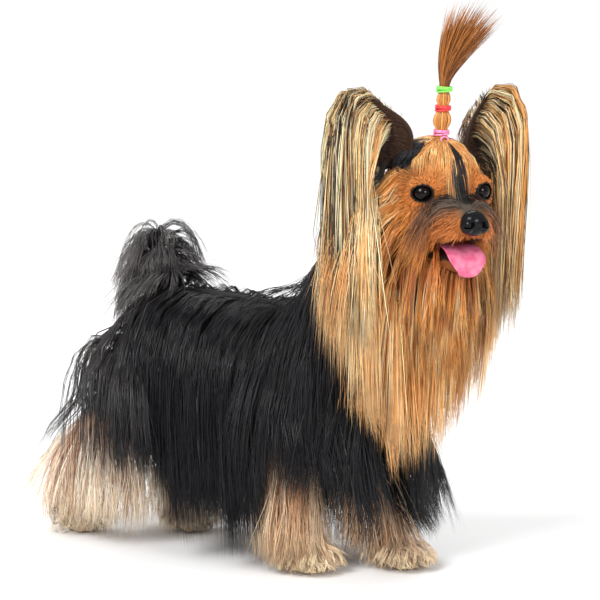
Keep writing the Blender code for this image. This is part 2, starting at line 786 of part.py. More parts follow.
def torso_coat(side, trunk, neck, tree):
    """Long hair from the parting on the back, the flank, the rump and the point of the shoulder."""
    sign = SIDE_SIGNS[side]
    chance = random.Random(21 + sign)
    specs = []
    for count, start, end, angle, clear in BACK_TIERS:
        for k in range(count):
            x = start + (end - start) * (k + chance.uniform(0.4, 0.6)) / count
            turn = math.radians(angle)
            root = None
            while root is None or not outside(neck, root, 0.003):
                way = Vector((0, math.sin(turn) * sign, math.cos(turn)))
                root, normal = rooted(trunk, Vector((x, 0, 0.165)), way)
                turn += math.radians(5)
            lie = Vector((-0.22, math.cos(turn) * sign, -math.sin(turn)))
            tip = hem_height(x - 0.01, side) + chance.uniform(-0.008, 0.008)
            layer = clear + LAYER * (k % 2)
            path, outs = hang(root, normal, lie, tip, tree, layer, 0.34, 4)
            specs.append((path, outs, chance.uniform(0.0210, 0.0235), chance.uniform(0.0024, 0.0030)))
    for k in range(5):
        spread = (k + 0.5) / 5
        way = Vector((-1.0, sign * (0.15 + 2.4 * spread), 0.60 - 0.45 * spread))
        root, normal = rooted(trunk, Vector((-0.062, 0, 0.165)), way)
        lie = Vector((-0.25, 0.10 * sign * spread, -0.9))
        tip = chance.uniform(0.070, 0.088)
        path, outs = hang(root, normal, lie, tip, tree, 0.004 + LAYER * (k % 2), 0.45, 4, RUMP_PULL)
        specs.append((path, outs, chance.uniform(0.0190, 0.0210), 0.0026))
    for k in range(5):
        way = Vector((1.0, sign * (0.5 + 0.6 * k), 0.12))
        root, normal = rooted(trunk, Vector((0.115, 0, 0.158)), way)
        lie = Vector((0.35, 0.30 * sign, -0.8))
        tip = 0.036 + chance.uniform(-0.008, 0.010)
        path, outs = hang(root, normal, lie, tip, tree, 0.004 + LAYER * (k % 2), 0.45, 4)
        specs.append((path, outs, 0.0185, 0.0026))
    return [keep_to_side(spec, sign) for spec in specs]


def keep_to_side(spec, sign):
    """Keeps a lock's middle line off the plane of the spine."""
    path, outs, width, thick = spec
    for point in path[1:]:
        point.y = sign * max(point.y * sign, 0.0075)
    path[0].y = sign * max(path[0].y * sign, 0.0055)
    return path, outs, width, thick


def to_axis(root):
    """The sideways pull that gathers the fall towards its own axis."""
    return Vector((FALL_AXIS[0] - root.x, FALL_AXIS[1] - root.y, 0.0)) * FALL_GATHER


def neck_coat(tree):
    """The golden fall, from the throat, the neck and the nape down over chest and shoulders."""
    chance = random.Random(31)
    specs = []
    for middle, count, clear, front, rear in FALL_RINGS:
        for k in range(count):
            angle = 2 * math.pi * k / count + HEAD_TURN * 0.25
            way = Vector((math.cos(angle), math.sin(angle), 0.0))
            root, normal = rooted(tree, Vector(middle), way)
            behind = (1 - math.cos(angle)) / 2
            tip = front + (rear - front) * behind + chance.uniform(-0.008, 0.012)
            lie = Vector((way.x * 0.5, way.y * 0.5, -1.0))
            layer = clear * (1 - 0.65 * behind) + LAYER * (k % 2)
            gather = to_axis(root) * (1 - behind)
            path, outs = hang(root, normal, lie, tip, tree, layer, 0.30, 4, gather)
            specs.append((path, outs, chance.uniform(0.0225, 0.0250), chance.uniform(0.0024, 0.0030)))
    for k in range(CHEST_LOCKS):
        angle = math.radians(22) * (k - (CHEST_LOCKS - 1) / 2)
        way = Vector((math.cos(angle), math.sin(angle), 0.0))
        root, normal = rooted(tree, Vector((0.125, 0.0, 0.172)), way)
        tip = 0.100 + chance.uniform(-0.008, 0.006)
        path, outs = hang(root, normal, Vector((0.2, 0, -1)), tip, tree, 0.0025 + LAYER * (k % 2), 0.30, 4)
        specs.append((path, outs, 0.0200, 0.0026))
    for k in range(NAPE_LOCKS):
        across = k - (NAPE_LOCKS - 1) / 2
        way = Vector((-1.0, 0.55 * across, 0.35))
        root, normal = rooted(tree, Vector((0.176, -0.005, 0.284)), way)
        lie = Vector((-0.55, 0.10 * across, -0.8))
        path, outs = drape(root, normal, lie, 0.112, tree, 0.0020 + LAYER * (k % 2), 0.10, 4)
        specs.append((path, outs, 0.0210, 0.0026))
    return specs


def head_coat(tree):
    """Hair of the cheeks, muzzle, brow and nape."""
    chance = random.Random(41)
    turn = HEAD.to_3x3()
    specs = []

    def add(place, way, lie, tip, clear, width, gather=0.0):
        root, normal = rooted(tree, HEAD @ Vector(place), turn @ Vector(way))
        pull = to_axis(root) * gather
        path, outs = hang(root, normal, turn @ Vector(lie), tip, tree, clear, 0.30, 4, pull)
        specs.append((path, outs, width, 0.0025))

    for sign in (1, -1):
        for k in range(4):
            angle = math.radians(42 + 32 * k)
            way = (math.cos(angle), math.sin(angle) * sign, -0.30)
            tip = 0.118 + 0.020 * k + chance.uniform(-0.010, 0.010)
            lie = (way[0] * 0.35, way[1] * 0.6, -1)
            add((0, 0, -0.012), way, lie, tip, 0.004 + LAYER * (k % 2), chance.uniform(0.0205, 0.0225), 0.9)
        for k in range(3):
            angle = math.radians(66 + 36 * k)
            way = (math.cos(angle), math.sin(angle) * sign, 0.18)
            lie = (way[0] * 0.5, way[1] * 0.9, -0.8)
            add((0, 0, 0), way, lie, 0.205 + 0.015 * k, 0.0090 + LAYER * (k % 2), 0.0190, 0.5)
        for k in range(3):
            place = (0.034 + 0.010 * k, 0, -0.024)
            tip = HEAD_PLACE.z - 0.088 + 0.006 * k
            add(place, (0.1, sign, -0.1), (-0.5, 0.5 * sign, -0.7), tip, 0.002 + LAYER * (k % 2), 0.0120)
        start = HEAD @ Vector((0.044, 0.002 * sign, -0.018))
        root, normal = rooted(tree, start, turn @ Vector((0.1, 0.35 * sign, 1)))
        path, outs = drape(root, normal, turn @ Vector((-0.1, sign, -0.1)), 0.032, tree, 0.0022, 0.25, 4)
        specs.append((path, outs, 0.0110, 0.0025))
    for k, angle in enumerate((-55, 0, 55, -110, 110, 180)):
        turned = math.radians(angle)
        way = Vector((math.cos(turned), math.sin(turned), 0.55))
        root, normal = rooted(tree, HEAD @ Vector((0.005, 0.0, 0.002)), turn @ way)
        goal = HEAD @ Vector((0.005, KNOT_ACROSS, 0.041))
        specs.append((*swept_up(root, normal, goal, tree, 0.0030 + LAYER * (k % 2)), 0.0165, 0.0020))
    return specs


def swept_up(root, normal, goal, tree, clear):
    """The path of a lock combed over the skull to where the topknot is tied."""
    path, outs = [root - normal * ROOT_DEPTH], [normal]
    for k in range(1, 5):
        point = root.lerp(goal, k / 4 * 0.90)
        lift, near, face = off_surface(tree, point)
        if lift < clear:
            point = near + face * clear
        path.append(point)
        outs.append(face)
    return path, outs


def jaw_coat(tree):
    """The beard that falls from the chin and the sides of the jaw."""
    chance = random.Random(51)
    turn = HEAD.to_3x3()
    specs = []
    for k in range(6):
        across = (k - 2.5) / 2.5
        place = HEAD @ Vector((0.038 - 0.020 * across**2, 0, -0.050))
        root, normal = rooted(tree, place, turn @ Vector((0.35 - 0.5 * across**2, across, -0.9)))
        length = 0.085 + chance.uniform(-0.012, 0.012)
        lie = turn @ Vector((0.15, 0.3 * across, -1))
        layer = 0.0015 + LAYER * (k % 2)
        specs.append((*drape(root, normal, lie, length, tree, layer, 0.4, 4), 0.0165, 0.0026))
    return specs


def ear_coat(sign, tree):
    """Long hair from an ear's tip and outer rim, hanging straight past the cheek."""
    chance = random.Random(61 + sign)
    turn = HEAD.to_3x3()
    _, up, across, face = ear_frame(sign)
    specs = []
    rims = [(0.92 - 0.17 * k, 0.92) for k in range(4)]
    places = rims + [(0.97, 0.1), (0.90, -0.55), (0.76, 0.3), (0.62, -0.3)]
    for k, (t, s) in enumerate(places):
        behind = across * math.sin(s * EAR_BEND) - face * math.cos(s * EAR_BEND)
        rim = across * 0.8 + up * 0.3 + face * (0.7 - 0.45 * k)
        normal = (turn @ (rim if s > 0.9 or t > 0.9 else behind)).normalized()
        point = HEAD @ ear_point(sign, t - 0.02, s * 0.92)
        tip = 0.205 + chance.uniform(-0.02, 0.02)
        path, outs = hang(point, normal, normal, tip, tree, 0.0, 0.75, 5, to_axis(point) * 0.35)
        path[0] = point
        specs.append((path, outs, chance.uniform(0.0120, 0.0145), 0.0022))
    return specs


def topknot_coat():
    """The loose brush above the last band, leaning to the dog's left and curling outwards."""
    chance = random.Random(71)
    base = Vector((0.005, KNOT_ACROSS + 0.0024, 0.0755))
    specs = []
    for k in range(7):
        angle = 2.399 * k
        spread = 0.25 + 0.75 * math.sqrt((k + 0.5) / 7)
        radial = Vector((math.cos(angle), math.sin(angle), 0))
        length = chance.uniform(0.048, 0.060)
        path, outs = [HEAD @ base], [HEAD.to_3x3() @ radial]
        for i in range(1, 4):
            t = i / 3
            lean = Vector((0.006, 0.024, 0)) * t**1.5
            bend = radial * (0.0035 * min(t * 4, 1) + spread * 0.019 * t**1.7)
            path.append(HEAD @ (base + Vector((0, 0, length * t)) + lean + bend))
            outs.append(HEAD.to_3x3() @ radial)
        specs.append((path, outs, 0.0100, 0.0030))
    return specs


def tail_coat(tree):
    """The plume: wavy hair that stands off the raised tail and droops round it."""
    chance = random.Random(81)
    curve = smooth_values(list(TAIL_PATH), 8)
    specs = []
    for k in range(20):
        u = (k + 0.5) / 20
        place = curve[round(6 + (len(curve) - 8) * u)]
        angle = 2.399 * k
        way = Vector((math.cos(angle), math.sin(angle), 0.15))
        root, normal = rooted(tree, place, way)
        lie = Vector((way.x * 0.9 - 0.1, way.y * 0.9, 0.9 + 0.5 * u))
        length = chance.uniform(0.034, 0.042) * (1 - 0.25 * u)
        specs.append((*drape(root, normal, lie, length, tree, 0.003, 0.50, 4), 0.0175, 0.0030))
    return specs


def leg_coat(path, tiers, tree, seed):
    """Hair round a leg that falls and widens over the foot."""
    chance = random.Random(seed)
    specs = []
    for count, height, tip, flare in tiers:
        middle = min(smooth_values(list(path), 4), key=lambda point: abs(point.z - height))
        for k in range(count):
            angle = 2 * math.pi * (k + chance.uniform(0.3, 0.7)) / count
            way = Vector((math.cos(angle), math.sin(angle), 0))
            root, normal = rooted(tree, middle, way)
            length = (height - tip) * 1.06 + chance.uniform(-0.004, 0.004)
            lie = Vector((way.x * flare, way.y * flare, -1.0))
            layer = 0.0015 + LAYER * (k % 2)
            specs.append((*drape(root, normal, lie, length, tree, layer, 0.10, 3), 0.0195, 0.0026))
    return specs


def floor_block():
    """All that is under the floor, cut off so that a foot stands on a flat."""
    return block("floor", (-1, -1, -1), (1, 1, 0))


def side_pieces(maker, grow):
    """What maker gives for the left and the right side together."""
    return maker(1, grow) + maker(-1, grow)


def leg_pieces(grow=0.0):
    """The cores of all four legs."""
    pieces = []
    for side in SIDE_SIGNS:
        pieces += front_leg_pieces(side, grow) + hind_leg_pieces(side, grow)
    return pieces


def plan_coats():
    """The locks of every node, each hung over the bodies and coats that lie beneath it."""
    coats = {}
    trunk, neck = surface_tree(torso_core()), surface_tree(neck_core())
    body = surface_tree(torso_core() + neck_core() + leg_pieces(0.004))
    for side in SIDE_SIGNS:
        coats["torso_" + side] = torso_coat(side, trunk, neck, body)
    beneath = torso_core(COAT_DEPTH) + neck_core() + skull_pieces() + jaw_pieces()
    coats["neck"] = neck_coat(surface_tree(beneath))
    beneath = torso_core(0.022) + neck_core(0.016)
    coats["head"] = head_coat(surface_tree(beneath + skull_pieces() + jaw_pieces()))
    coats["lower_jaw"] = jaw_coat(surface_tree(torso_core(0.020) + neck_core(0.010) + jaw_pieces()))
    for side, sign in SIDE_SIGNS.items():
        tree = surface_tree(torso_core(0.030) + neck_core(0.026) + skull_pieces(0.016))
        coats["ear_" + side] = ear_coat(sign, tree)
        front = surface_tree(front_leg_pieces(side))
        coats["front_leg_" + side] = leg_coat(front_leg_path(side), FRONT_LEG_TIERS, front, 91 + sign)
        hind = surface_tree(hind_leg_pieces(side))
        coats["hind_leg_" + side] = leg_coat(hind_leg_path(side), HIND_LEG_TIERS, hind, 95 + sign)
    coats["topknot"] = topknot_coat()
    coats["tail"] = tail_coat(surface_tree(torso_core(COAT_DEPTH) + tail_core()))
    return {name: settled(specs) for name, specs in coats.items()}


def node(name, core, core_cuts, coat, coat_cuts, look):
    """One closed body: the core cut clear of the cores it meets, then joined by its locks, which
    are cut clear of every neighbour that keeps its shape."""
    obj = boolean(fused(name, core), core_cuts, "DIFFERENCE")
    if coat:
        hair = boolean(fused("hair", coat), coat_cuts, "DIFFERENCE")
        boolean(obj, [hair], "UNION")
        mend(keep_largest(obj))
        mend(simplify(obj))
    keep_largest(obj)
    obj.data.materials.clear()
    obj.data.materials.append(look)
    return obj


def looks_of_nodes():
    """One plain material for each kind of surface."""
    return {
        "black_coat": material("black_coat", BLACK, 0.45),
        "gold_coat": material("gold_coat", GOLD, 0.5),
        "tan_coat": material("tan_coat", TAN, 0.55),
        "grey_coat": material("grey_coat", DARK_GREY, 0.5),
        "eye": material("eye", (0.010, 0.006, 0.004), 0.08),
        "nose": material("nose", (0.010, 0.010, 0.011), 0.3),
        "tongue": material("tongue", (0.75, 0.20, 0.28), 0.35),
        "pink_band": material("pink_band", (0.85, 0.25, 0.45), 0.5),
        "red_band": material("red_band", (0.70, 0.03, 0.03), 0.5),
        "green_band": material("green_band", (0.20, 0.75, 0.10), 0.5),
    }


def hoops(grow):
    return [hoop("band", z, grow)[0] for z in BAND_PLACES]


def build():
    clear_scene()
    looks = looks_of_nodes()
    coats = plan_coats()

    def grown(*names):
        """The locks of these nodes, grown to cut others clear of them."""
        return [piece for name in names for piece in strands(coats[name], CLEAR)]

    def face(grow):
        return skull_pieces(grow) + jaw_pieces(grow) + tongue_pieces(grow) + nose_pieces(grow)

    def eyes():
        return side_pieces(eyeball, CLEAR)

    made = []

    def add(name, look, core, core_cuts=(), coat_cuts=()):
        hair = strands(coats.get(name, ()))
        made.append(node(name, core, list(core_cuts), hair, list(coat_cuts), looks[look]))

    add("nose", "nose", nose_pieces(), nostrils())
    for side, sign in SIDE_SIGNS.items():
        add("eye_" + side, "eye", eye_pieces(sign))
    for (name, look), z in zip(BANDS.items(), BAND_PLACES):
        add(name, look, hoop(name, z))
    add("tongue", "tongue", tongue_pieces(), skull_pieces(CLEAR))

    ears = ("ear_left", "ear_right")
    for side, sign in SIDE_SIGNS.items():
        coat_cuts = face(CLEAR) + neck_core(CLEAR) + torso_core(CLEAR)
        add("ear_" + side, "gold_coat", ear_pieces(sign), skull_pieces(CLEAR), coat_cuts)
    add("topknot", "gold_coat", topknot_pieces(), skull_pieces(CLEAR), hoops(GAP))

    core_cuts = nose_pieces(CLEAR) + eyes() + lid_openings() + lip_groove()
    coat_cuts = nose_pieces(CLEAR) + eyes() + lid_openings() + tongue_pieces(CLEAR) + jaw_pieces(CLEAR)
    coat_cuts += hoops(GAP) + topknot_pieces(CLEAR) + side_pieces(ear_pieces, CLEAR) + grown(*ears)
    coat_cuts += neck_core(CLEAR) + torso_core(CLEAR)
    add("head", "gold_coat", skull_pieces(), core_cuts, coat_cuts)

    core_cuts = skull_pieces(CLEAR) + tongue_pieces(CLEAR)
    coat_cuts = skull_pieces(CLEAR) + tongue_pieces(CLEAR) + neck_core(CLEAR) + grown("head", *ears)
    add("lower_jaw", "gold_coat", jaw_pieces(), core_cuts, coat_cuts)

    coat_cuts = face(CLEAR) + torso_core(CLEAR) + side_pieces(ear_pieces, CLEAR)
    coat_cuts += grown("head", "lower_jaw", *ears)
    add("neck", "gold_coat", neck_core(), face(CLEAR) + torso_core(CLEAR), coat_cuts)

    fall = ("neck", "head", "lower_jaw", *ears)
    for side, sign in SIDE_SIGNS.items():
        coat_cuts = torso_half(-sign, CLEAR) + neck_core(CLEAR) + leg_pieces(CLEAR) + tail_core(CLEAR)
        add("torso_" + side, "black_coat", torso_half(sign), [], coat_cuts + grown(*fall))

    trunk = ("torso_left", "torso_right")
    for side in SIDE_SIGNS:
        for end, core in (("front_leg_", front_leg_pieces), ("hind_leg_", hind_leg_pieces)):
            core_cuts = torso_core(CLEAR) + [floor_block()]
            coat_cuts = torso_core(CLEAR) + grown(*trunk, *fall)
            add(end + side, "tan_coat", core(side), core_cuts, coat_cuts)
    add("tail", "grey_coat", tail_core(), torso_core(CLEAR), torso_core(CLEAR) + grown(*trunk))

    dog = bpy.data.objects.new("dog", None)
    bpy.context.scene.collection.objects.link(dog)
    dog.location = -CENTRE
    for obj in made:
        obj.parent = dog


if __name__ == "__main__":
    build()
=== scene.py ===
"""How the long-coated toy terrier looks: one skin under a coat of fine closed strands, with its
eyes, nose, tongue, claws and the three bands of its topknot.

Shapes are made in the dog's own frame, in metres, and moved to the model's origin at the end.
"""

import math

import bmesh
import bpy
import numpy as np
from mathutils import Matrix, Vector
from mathutils.bvhtree import BVHTree
from mathutils.kdtree import KDTree

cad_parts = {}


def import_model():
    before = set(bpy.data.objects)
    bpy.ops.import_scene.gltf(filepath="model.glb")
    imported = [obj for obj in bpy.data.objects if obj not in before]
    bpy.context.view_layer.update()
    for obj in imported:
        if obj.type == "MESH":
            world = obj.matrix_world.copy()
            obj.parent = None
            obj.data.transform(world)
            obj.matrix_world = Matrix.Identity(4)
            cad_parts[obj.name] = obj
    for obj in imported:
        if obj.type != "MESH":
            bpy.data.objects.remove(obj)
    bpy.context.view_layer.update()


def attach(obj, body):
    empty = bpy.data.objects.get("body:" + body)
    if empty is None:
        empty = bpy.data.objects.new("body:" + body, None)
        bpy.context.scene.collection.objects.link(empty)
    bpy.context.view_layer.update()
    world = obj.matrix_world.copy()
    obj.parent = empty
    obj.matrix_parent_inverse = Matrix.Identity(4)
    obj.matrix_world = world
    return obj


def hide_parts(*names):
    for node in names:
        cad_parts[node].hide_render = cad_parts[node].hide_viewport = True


CENTRE = Vector((0.0425, 0.0, 0.0))

TORSO_STATIONS = (
    # along x, middle height, half width, reach up, reach down
    (-0.100, 0.166, 0.024, 0.029, 0.028),
    (-0.088, 0.168, 0.038, 0.041, 0.040),
    (-0.060, 0.169, 0.044, 0.046, 0.041),
    (-0.025, 0.168, 0.043, 0.047, 0.037),
    (0.014, 0.163, 0.045, 0.050, 0.043),
    (0.056, 0.157, 0.048, 0.054, 0.050),
    (0.095, 0.154, 0.047, 0.055, 0.050),
    (0.125, 0.156, 0.041, 0.047, 0.042),
    (0.146, 0.157, 0.028, 0.030, 0.028),
)
TORSO_ENDS = (Vector((-0.108, 0.0, 0.166)), Vector((0.156, 0.0, 0.157)))

NECK_PATH = (
    Vector((0.105, 0.0, 0.172)),
    Vector((0.132, 0.0, 0.215)),
    Vector((0.162, -0.003, 0.258)),
    Vector((0.190, -0.008, 0.298)),
)
NECK_RADII = ((0.044, 0.050), (0.040, 0.044), (0.034, 0.036), (0.031, 0.030))

HEAD_PLACE = Vector((0.211, -0.0115, 0.315))
HEAD_TURN = math.radians(-28.0)
HEAD = Matrix.Translation(HEAD_PLACE) @ Matrix.Rotation(HEAD_TURN, 4, "Z")
HEAD_SIDE = HEAD.to_3x3() @ Vector((0, 1, 0))
EYE_PLACE = Vector((0.0270, 0.0228, -0.003))
EYE_TURN = math.radians(24.0)
EYE_RADIUS = 0.0098
CORNEA_RADIUS = 0.0078
LID_RADIUS = 0.0122
LID_OPENING = (0.0130, 0.0076, 0.0058)
NOSE_PLACE = Vector((0.0700, 0.0, -0.0228))
NOSE_RADII = (0.0085, 0.0106, 0.0098)

EAR_ROOT = Vector((-0.006, 0.033, 0.014))
EAR_HEIGHT = 0.060
EAR_WIDTH = 0.058
EAR_THICK = 0.0022
EAR_BEND = 1.05

TONGUE_PATH = (
    (0.014, 0, -0.0405),
    (0.034, 0, -0.0425),
    (0.050, 0, -0.0460),
    (0.0590, 0, -0.0525),
    (0.0612, 0, -0.0605),
)
TONGUE_HALVES = (0.0115, 0.0135, 0.0150, 0.0150, 0.0095)
TONGUE_THICK = 0.0042

LEG_SIDE = 0.030
PAW_RADII = (0.020, 0.0145, 0.0125)
FRONT_PAWS = {"right": 0.097, "left": 0.145}
HIND_PAWS = {"right": -0.156, "left": -0.085}
SIDE_SIGNS = {"left": 1, "right": -1}

TAIL_PATH = (
    Vector((-0.068, 0.0, 0.190)),
    Vector((-0.082, 0.0, 0.216)),
    Vector((-0.092, 0.001, 0.240)),
    Vector((-0.090, 0.002, 0.260)),
)
TAIL_RADII = ((0.011, 0.011), (0.010, 0.010), (0.008, 0.008), (0.005, 0.005))

KNOT_ACROSS = 0.003
KNOT_BEADS = (
    # height above the skull's middle, radius
    (0.029, 0.0120), (0.0345, 0.0085), (0.0383, 0.0040), (0.0437, 0.0040), (0.047, 0.0066),
    (0.051, 0.0070), (0.055, 0.0060), (0.0570, 0.0038), (0.0620, 0.0038), (0.065, 0.0056),
    (0.068, 0.0057), (0.0705, 0.0036), (0.0775, 0.0036),
)
BAND_PLACES = (0.041, 0.0595, 0.074)
BAND_INNER = 0.0047
BAND_OUTER = 0.0064

HEM_HEIGHTS = (
    # along x, height of the tips
    (-0.12, 0.046),
    (-0.06, 0.040),
    (0.00, 0.024),
    (0.045, 0.016),
    (0.062, 0.014),
    (0.105, 0.036),
    (0.16, 0.030),
)
HEM_RISES = {"thigh": (0.030, 0.026), "front": (0.055, 0.014)}
THIGH_X = -0.062
FALL_AXIS = (0.172, 0.004)
FALL_GATHER = 3.2

DOWN = Vector((0.0, 0.0, -1.0))
INSET = 0.0006
VOXEL = 0.0017
FLOOR_CLEAR = 0.0025
TINY = 1e-5
PATCH = 0.003
FINE = 24


# Meshes from sections

def object_of(name, bm):
    """A scene object from bm, with its faces turned outwards."""
    bmesh.ops.recalc_face_normals(bm, faces=bm.faces[:])
    mesh = bpy.data.meshes.new(name)
    bm.to_mesh(mesh)
    bm.free()
    obj = bpy.data.objects.new(name, mesh)
    bpy.context.scene.collection.objects.link(obj)
    return obj


def smooth_values(values, steps):
    """Points on a Catmull-Rom curve through values, steps to each span."""
    ends = [values[0] * 2 - values[1], *values, values[-1] * 2 - values[-2]]
    found = []
    for i in range(1, len(ends) - 2):
        before, start, end, after = ends[i - 1 : i + 3]
        for k in range(steps):
            t = k / steps
            found.append(
                0.5
                * (
                    start * 2
                    + (end - before) * t
                    + (before * 2 - start * 5 + end * 4 - after) * t**2
                    + (start * 3 - before - end * 3 + after) * t**3
                )
            )
    found.append(values[-1])
    return found


def ring(centre, side, up, half_width, reach_up, reach_down, count):
    """Points round an oval whose upper and lower halves may differ."""
    found = []
    for k in range(count):
        angle = 2 * math.pi * k / count
        rise = math.sin(angle)
        reach = reach_up if rise > 0 else reach_down
        found.append(centre + side * (half_width * math.cos(angle)) + up * (reach * rise))
    return found


def sweep(name, rings, ends):
    """A closed skin through the rings, drawn to a point at each end."""
    bm = bmesh.new()
    loops = [[bm.verts.new(point) for point in points] for points in rings]
    count = len(rings[0])
    for lower, upper in zip(loops, loops[1:]):
        for k in range(count):
            j = (k + 1) % count
            bm.faces.new((lower[k], lower[j], upper[j], upper[k]))
    for loop, end in ((loops[0], ends[0]), (loops[-1], ends[1])):
        tip = bm.verts.new(end)
        for k in range(count):
            bm.faces.new((loop[k], loop[(k + 1) % count], tip))
    return object_of(name, bm)


def tube(name, path, radii, count=16, steps=3, grow=0.0, side_hint=Vector((0, 1, 0)), round_ends=0.6):
    """A bent limb: rings across a smooth path, with rounded ends."""
    points = smooth_values(list(path), steps)
    sizes = smooth_values([Vector(pair) for pair in radii], steps)
    rings = []
    for i, point in enumerate(points):
        ahead = points[min(i + 1, len(points) - 1)] - points[max(i - 1, 0)]
        ahead.normalize()
        side = (side_hint - ahead * side_hint.dot(ahead)).normalized()
        up = ahead.cross(side)
        rings.append(ring(point, side, up, sizes[i].x + grow, sizes[i].y + grow, sizes[i].y + grow, count))
    first = (points[0] - points[1]).normalized() * (round_ends * (sizes[0].x + grow))
    last = (points[-1] - points[-2]).normalized() * (round_ends * (sizes[-1].x + grow))
    return sweep(name, rings, (points[0] + first, points[-1] + last))


def ball(name, centre, radii, count=20, rows=12, grow=0.0, place=Matrix.Identity(4)):
    """An ellipsoid, in the frame that place gives."""
    bm = bmesh.new()
    bmesh.ops.create_uvsphere(bm, u_segments=count, v_segments=rows, radius=1.0)
    sizes = Matrix.Diagonal((radii[0] + grow, radii[1] + grow, radii[2] + grow, 1.0))
    bmesh.ops.transform(bm, matrix=place @ Matrix.Translation(centre) @ sizes, verts=bm.verts[:])
    return object_of(name, bm)


def block(name, low, high, place=Matrix.Identity(4)):
    """A box between two corners, used to cut with."""
    bm = bmesh.new()
    bmesh.ops.create_cube(bm, size=1.0)
    low, high = Vector(low), Vector(high)
    sizes = Matrix.Diagonal((*(high - low), 1.0))
    bmesh.ops.transform(bm, matrix=place @ Matrix.Translation((low + high) / 2) @ sizes, verts=bm.verts[:])
    return object_of(name, bm)


def applied(obj):
    """Puts the result of an object's modifiers in place of its mesh."""
    bpy.context.view_layer.update()
    graph = bpy.context.evaluated_depsgraph_get()
    made = bpy.data.meshes.new_from_object(obj.evaluated_get(graph))
    obj.modifiers.clear()
    obj.data = made
    return obj


def joined(name, pieces):
    """One object that holds the faces of all the pieces, which are removed."""
    bm = bmesh.new()
    for piece in pieces:
        bm.from_mesh(piece.data)
        bpy.data.objects.remove(piece)
    mesh = bpy.data.meshes.new(name)
    bm.to_mesh(mesh)
    bm.free()
    obj = bpy.data.objects.new(name, mesh)
    bpy.context.scene.collection.objects.link(obj)
    return obj


def remeshed(obj, voxel, rounds):
    """One even closed surface round everything in obj, made smoother by the rounds."""
    modifier = obj.modifiers.new("even", "REMESH")
    modifier.mode = "VOXEL"
    modifier.voxel_size = voxel
    if rounds:
        modifier = obj.modifiers.new("soft", "SMOOTH")
        modifier.factor = 0.5
        modifier.iterations = rounds
    return applied(obj)


def boolean(obj, others, operation):
    """Applies one Boolean of obj with all the others, which are then removed."""
    group = bpy.data.collections.new("operands")
    for other in others:
        group.objects.link(other)
    modifier = obj.modifiers.new(operation, "BOOLEAN")
    modifier.operation = operation
    modifier.operand_type = "COLLECTION"
    modifier.collection = group
    modifier.solver = "MANIFOLD"
    applied(obj)
    for other in others:
        bpy.data.objects.remove(other)
    bpy.data.collections.remove(group)
    return obj


# The forms of the body

def torso_core(grow=0.0):
    """The trunk under the coat, from the breast bone to the buttocks."""
    stations = smooth_values([Vector((x, z, w)) for x, z, w, up, down in TORSO_STATIONS], 3)
    reaches = smooth_values([Vector((up, down)) for x, z, w, up, down in TORSO_STATIONS], 3)
    rings = []
    for station, reach in zip(stations, reaches):
        middle = Vector((station.x, 0.0, station.y))
        across, up = Vector((0, 1, 0)), Vector((0, 0, 1))
        rings.append(ring(middle, across, up, station.z + grow, reach.x + grow, reach.y + grow, 32))
    ends = (TORSO_ENDS[0] - Vector((grow, 0, 0)), TORSO_ENDS[1] + Vector((grow, 0, 0)))
    return [sweep("torso_core", rings, ends)]


def neck_core(grow=0.0):
    return [tube("neck_core", NECK_PATH, NECK_RADII, count=20, grow=grow)]


def eye_frame(sign):
    """Where an eye sits; its own X axis is the way it looks."""
    centre = HEAD @ Vector((EYE_PLACE.x, EYE_PLACE.y * sign, EYE_PLACE.z))
    look = HEAD.to_3x3() @ Vector((math.cos(EYE_TURN), math.sin(EYE_TURN) * sign, 0.04))
    return Matrix.Translation(centre) @ look.to_track_quat("X", "Z").to_matrix().to_4x4()


def skull_pieces(grow=0.0):
    """The round skull, brow, cheeks, lids and short muzzle down to the upper lips."""
    pieces = [
        ball("cranium", (-0.002, 0.0, 0.0), (0.041, 0.036, 0.034), 28, 16, grow, HEAD),
        ball("forehead", (0.017, 0.0, 0.003), (0.022, 0.0290, 0.025), 24, 14, grow, HEAD),
    ]
    for sign in (1, -1):
        pieces.append(ball("cheek", (0.008, 0.019 * sign, -0.019), (0.025, 0.017, 0.018), 16, 10, grow, HEAD))
        pieces.append(ball("lids", (0, 0, 0), (LID_RADIUS,) * 3, 24, 14, grow, eye_frame(sign)))
        lip = (0.046, 0.0105 * sign, -0.0300)
        pieces.append(ball("upper_lip", lip, (0.0205, 0.0105, 0.0095), 18, 10, grow, HEAD))
    places = ((0.018, 0, -0.015), (0.040, 0, -0.0180), (0.057, 0, -0.0215), (0.067, 0, -0.0250))
    path = [HEAD @ Vector(place) for place in places]
    radii = ((0.023, 0.019), (0.0195, 0.0145), (0.0170, 0.0115), (0.0130, 0.0085))
    pieces.append(tube("muzzle", path, radii, 20, 3, grow, HEAD_SIDE, 0.35))
    return pieces


def lid_openings():
    """The almond cut through each pair of lids."""
    return [ball("opening", (0.0105, 0, 0), LID_OPENING, 28, 14, 0.0, eye_frame(sign)) for sign in (1, -1)]


def jaw_pieces(grow=0.0):
    """The open lower jaw, from the cheeks to the chin."""
    places = ((0.000, 0, -0.036), (0.022, 0, -0.0475), (0.040, 0, -0.0550), (0.050, 0, -0.0580))
    path = [HEAD @ Vector(place) for place in places]
    radii = ((0.023, 0.0120), (0.0195, 0.0088), (0.0160, 0.0068), (0.0105, 0.0055))
    return [tube("jaw", path, radii, 18, 3, grow, HEAD_SIDE, 0.5)]


def paw_pieces(x, y, grow=0.0):
    """A small round foot of four toes over a pad."""
    pieces = [ball("paw", (x, y, 0.0105), PAW_RADII, 18, 10, grow)]
    for k, across in enumerate((-0.0095, -0.0035, 0.0035, 0.0095)):
        ahead = 0.0130 if k in (1, 2) else 0.0090
        pieces.append(ball("toe", (x + ahead, y + across, 0.0070), (0.0090, 0.0042, 0.0075), 12, 8, grow))
    return pieces


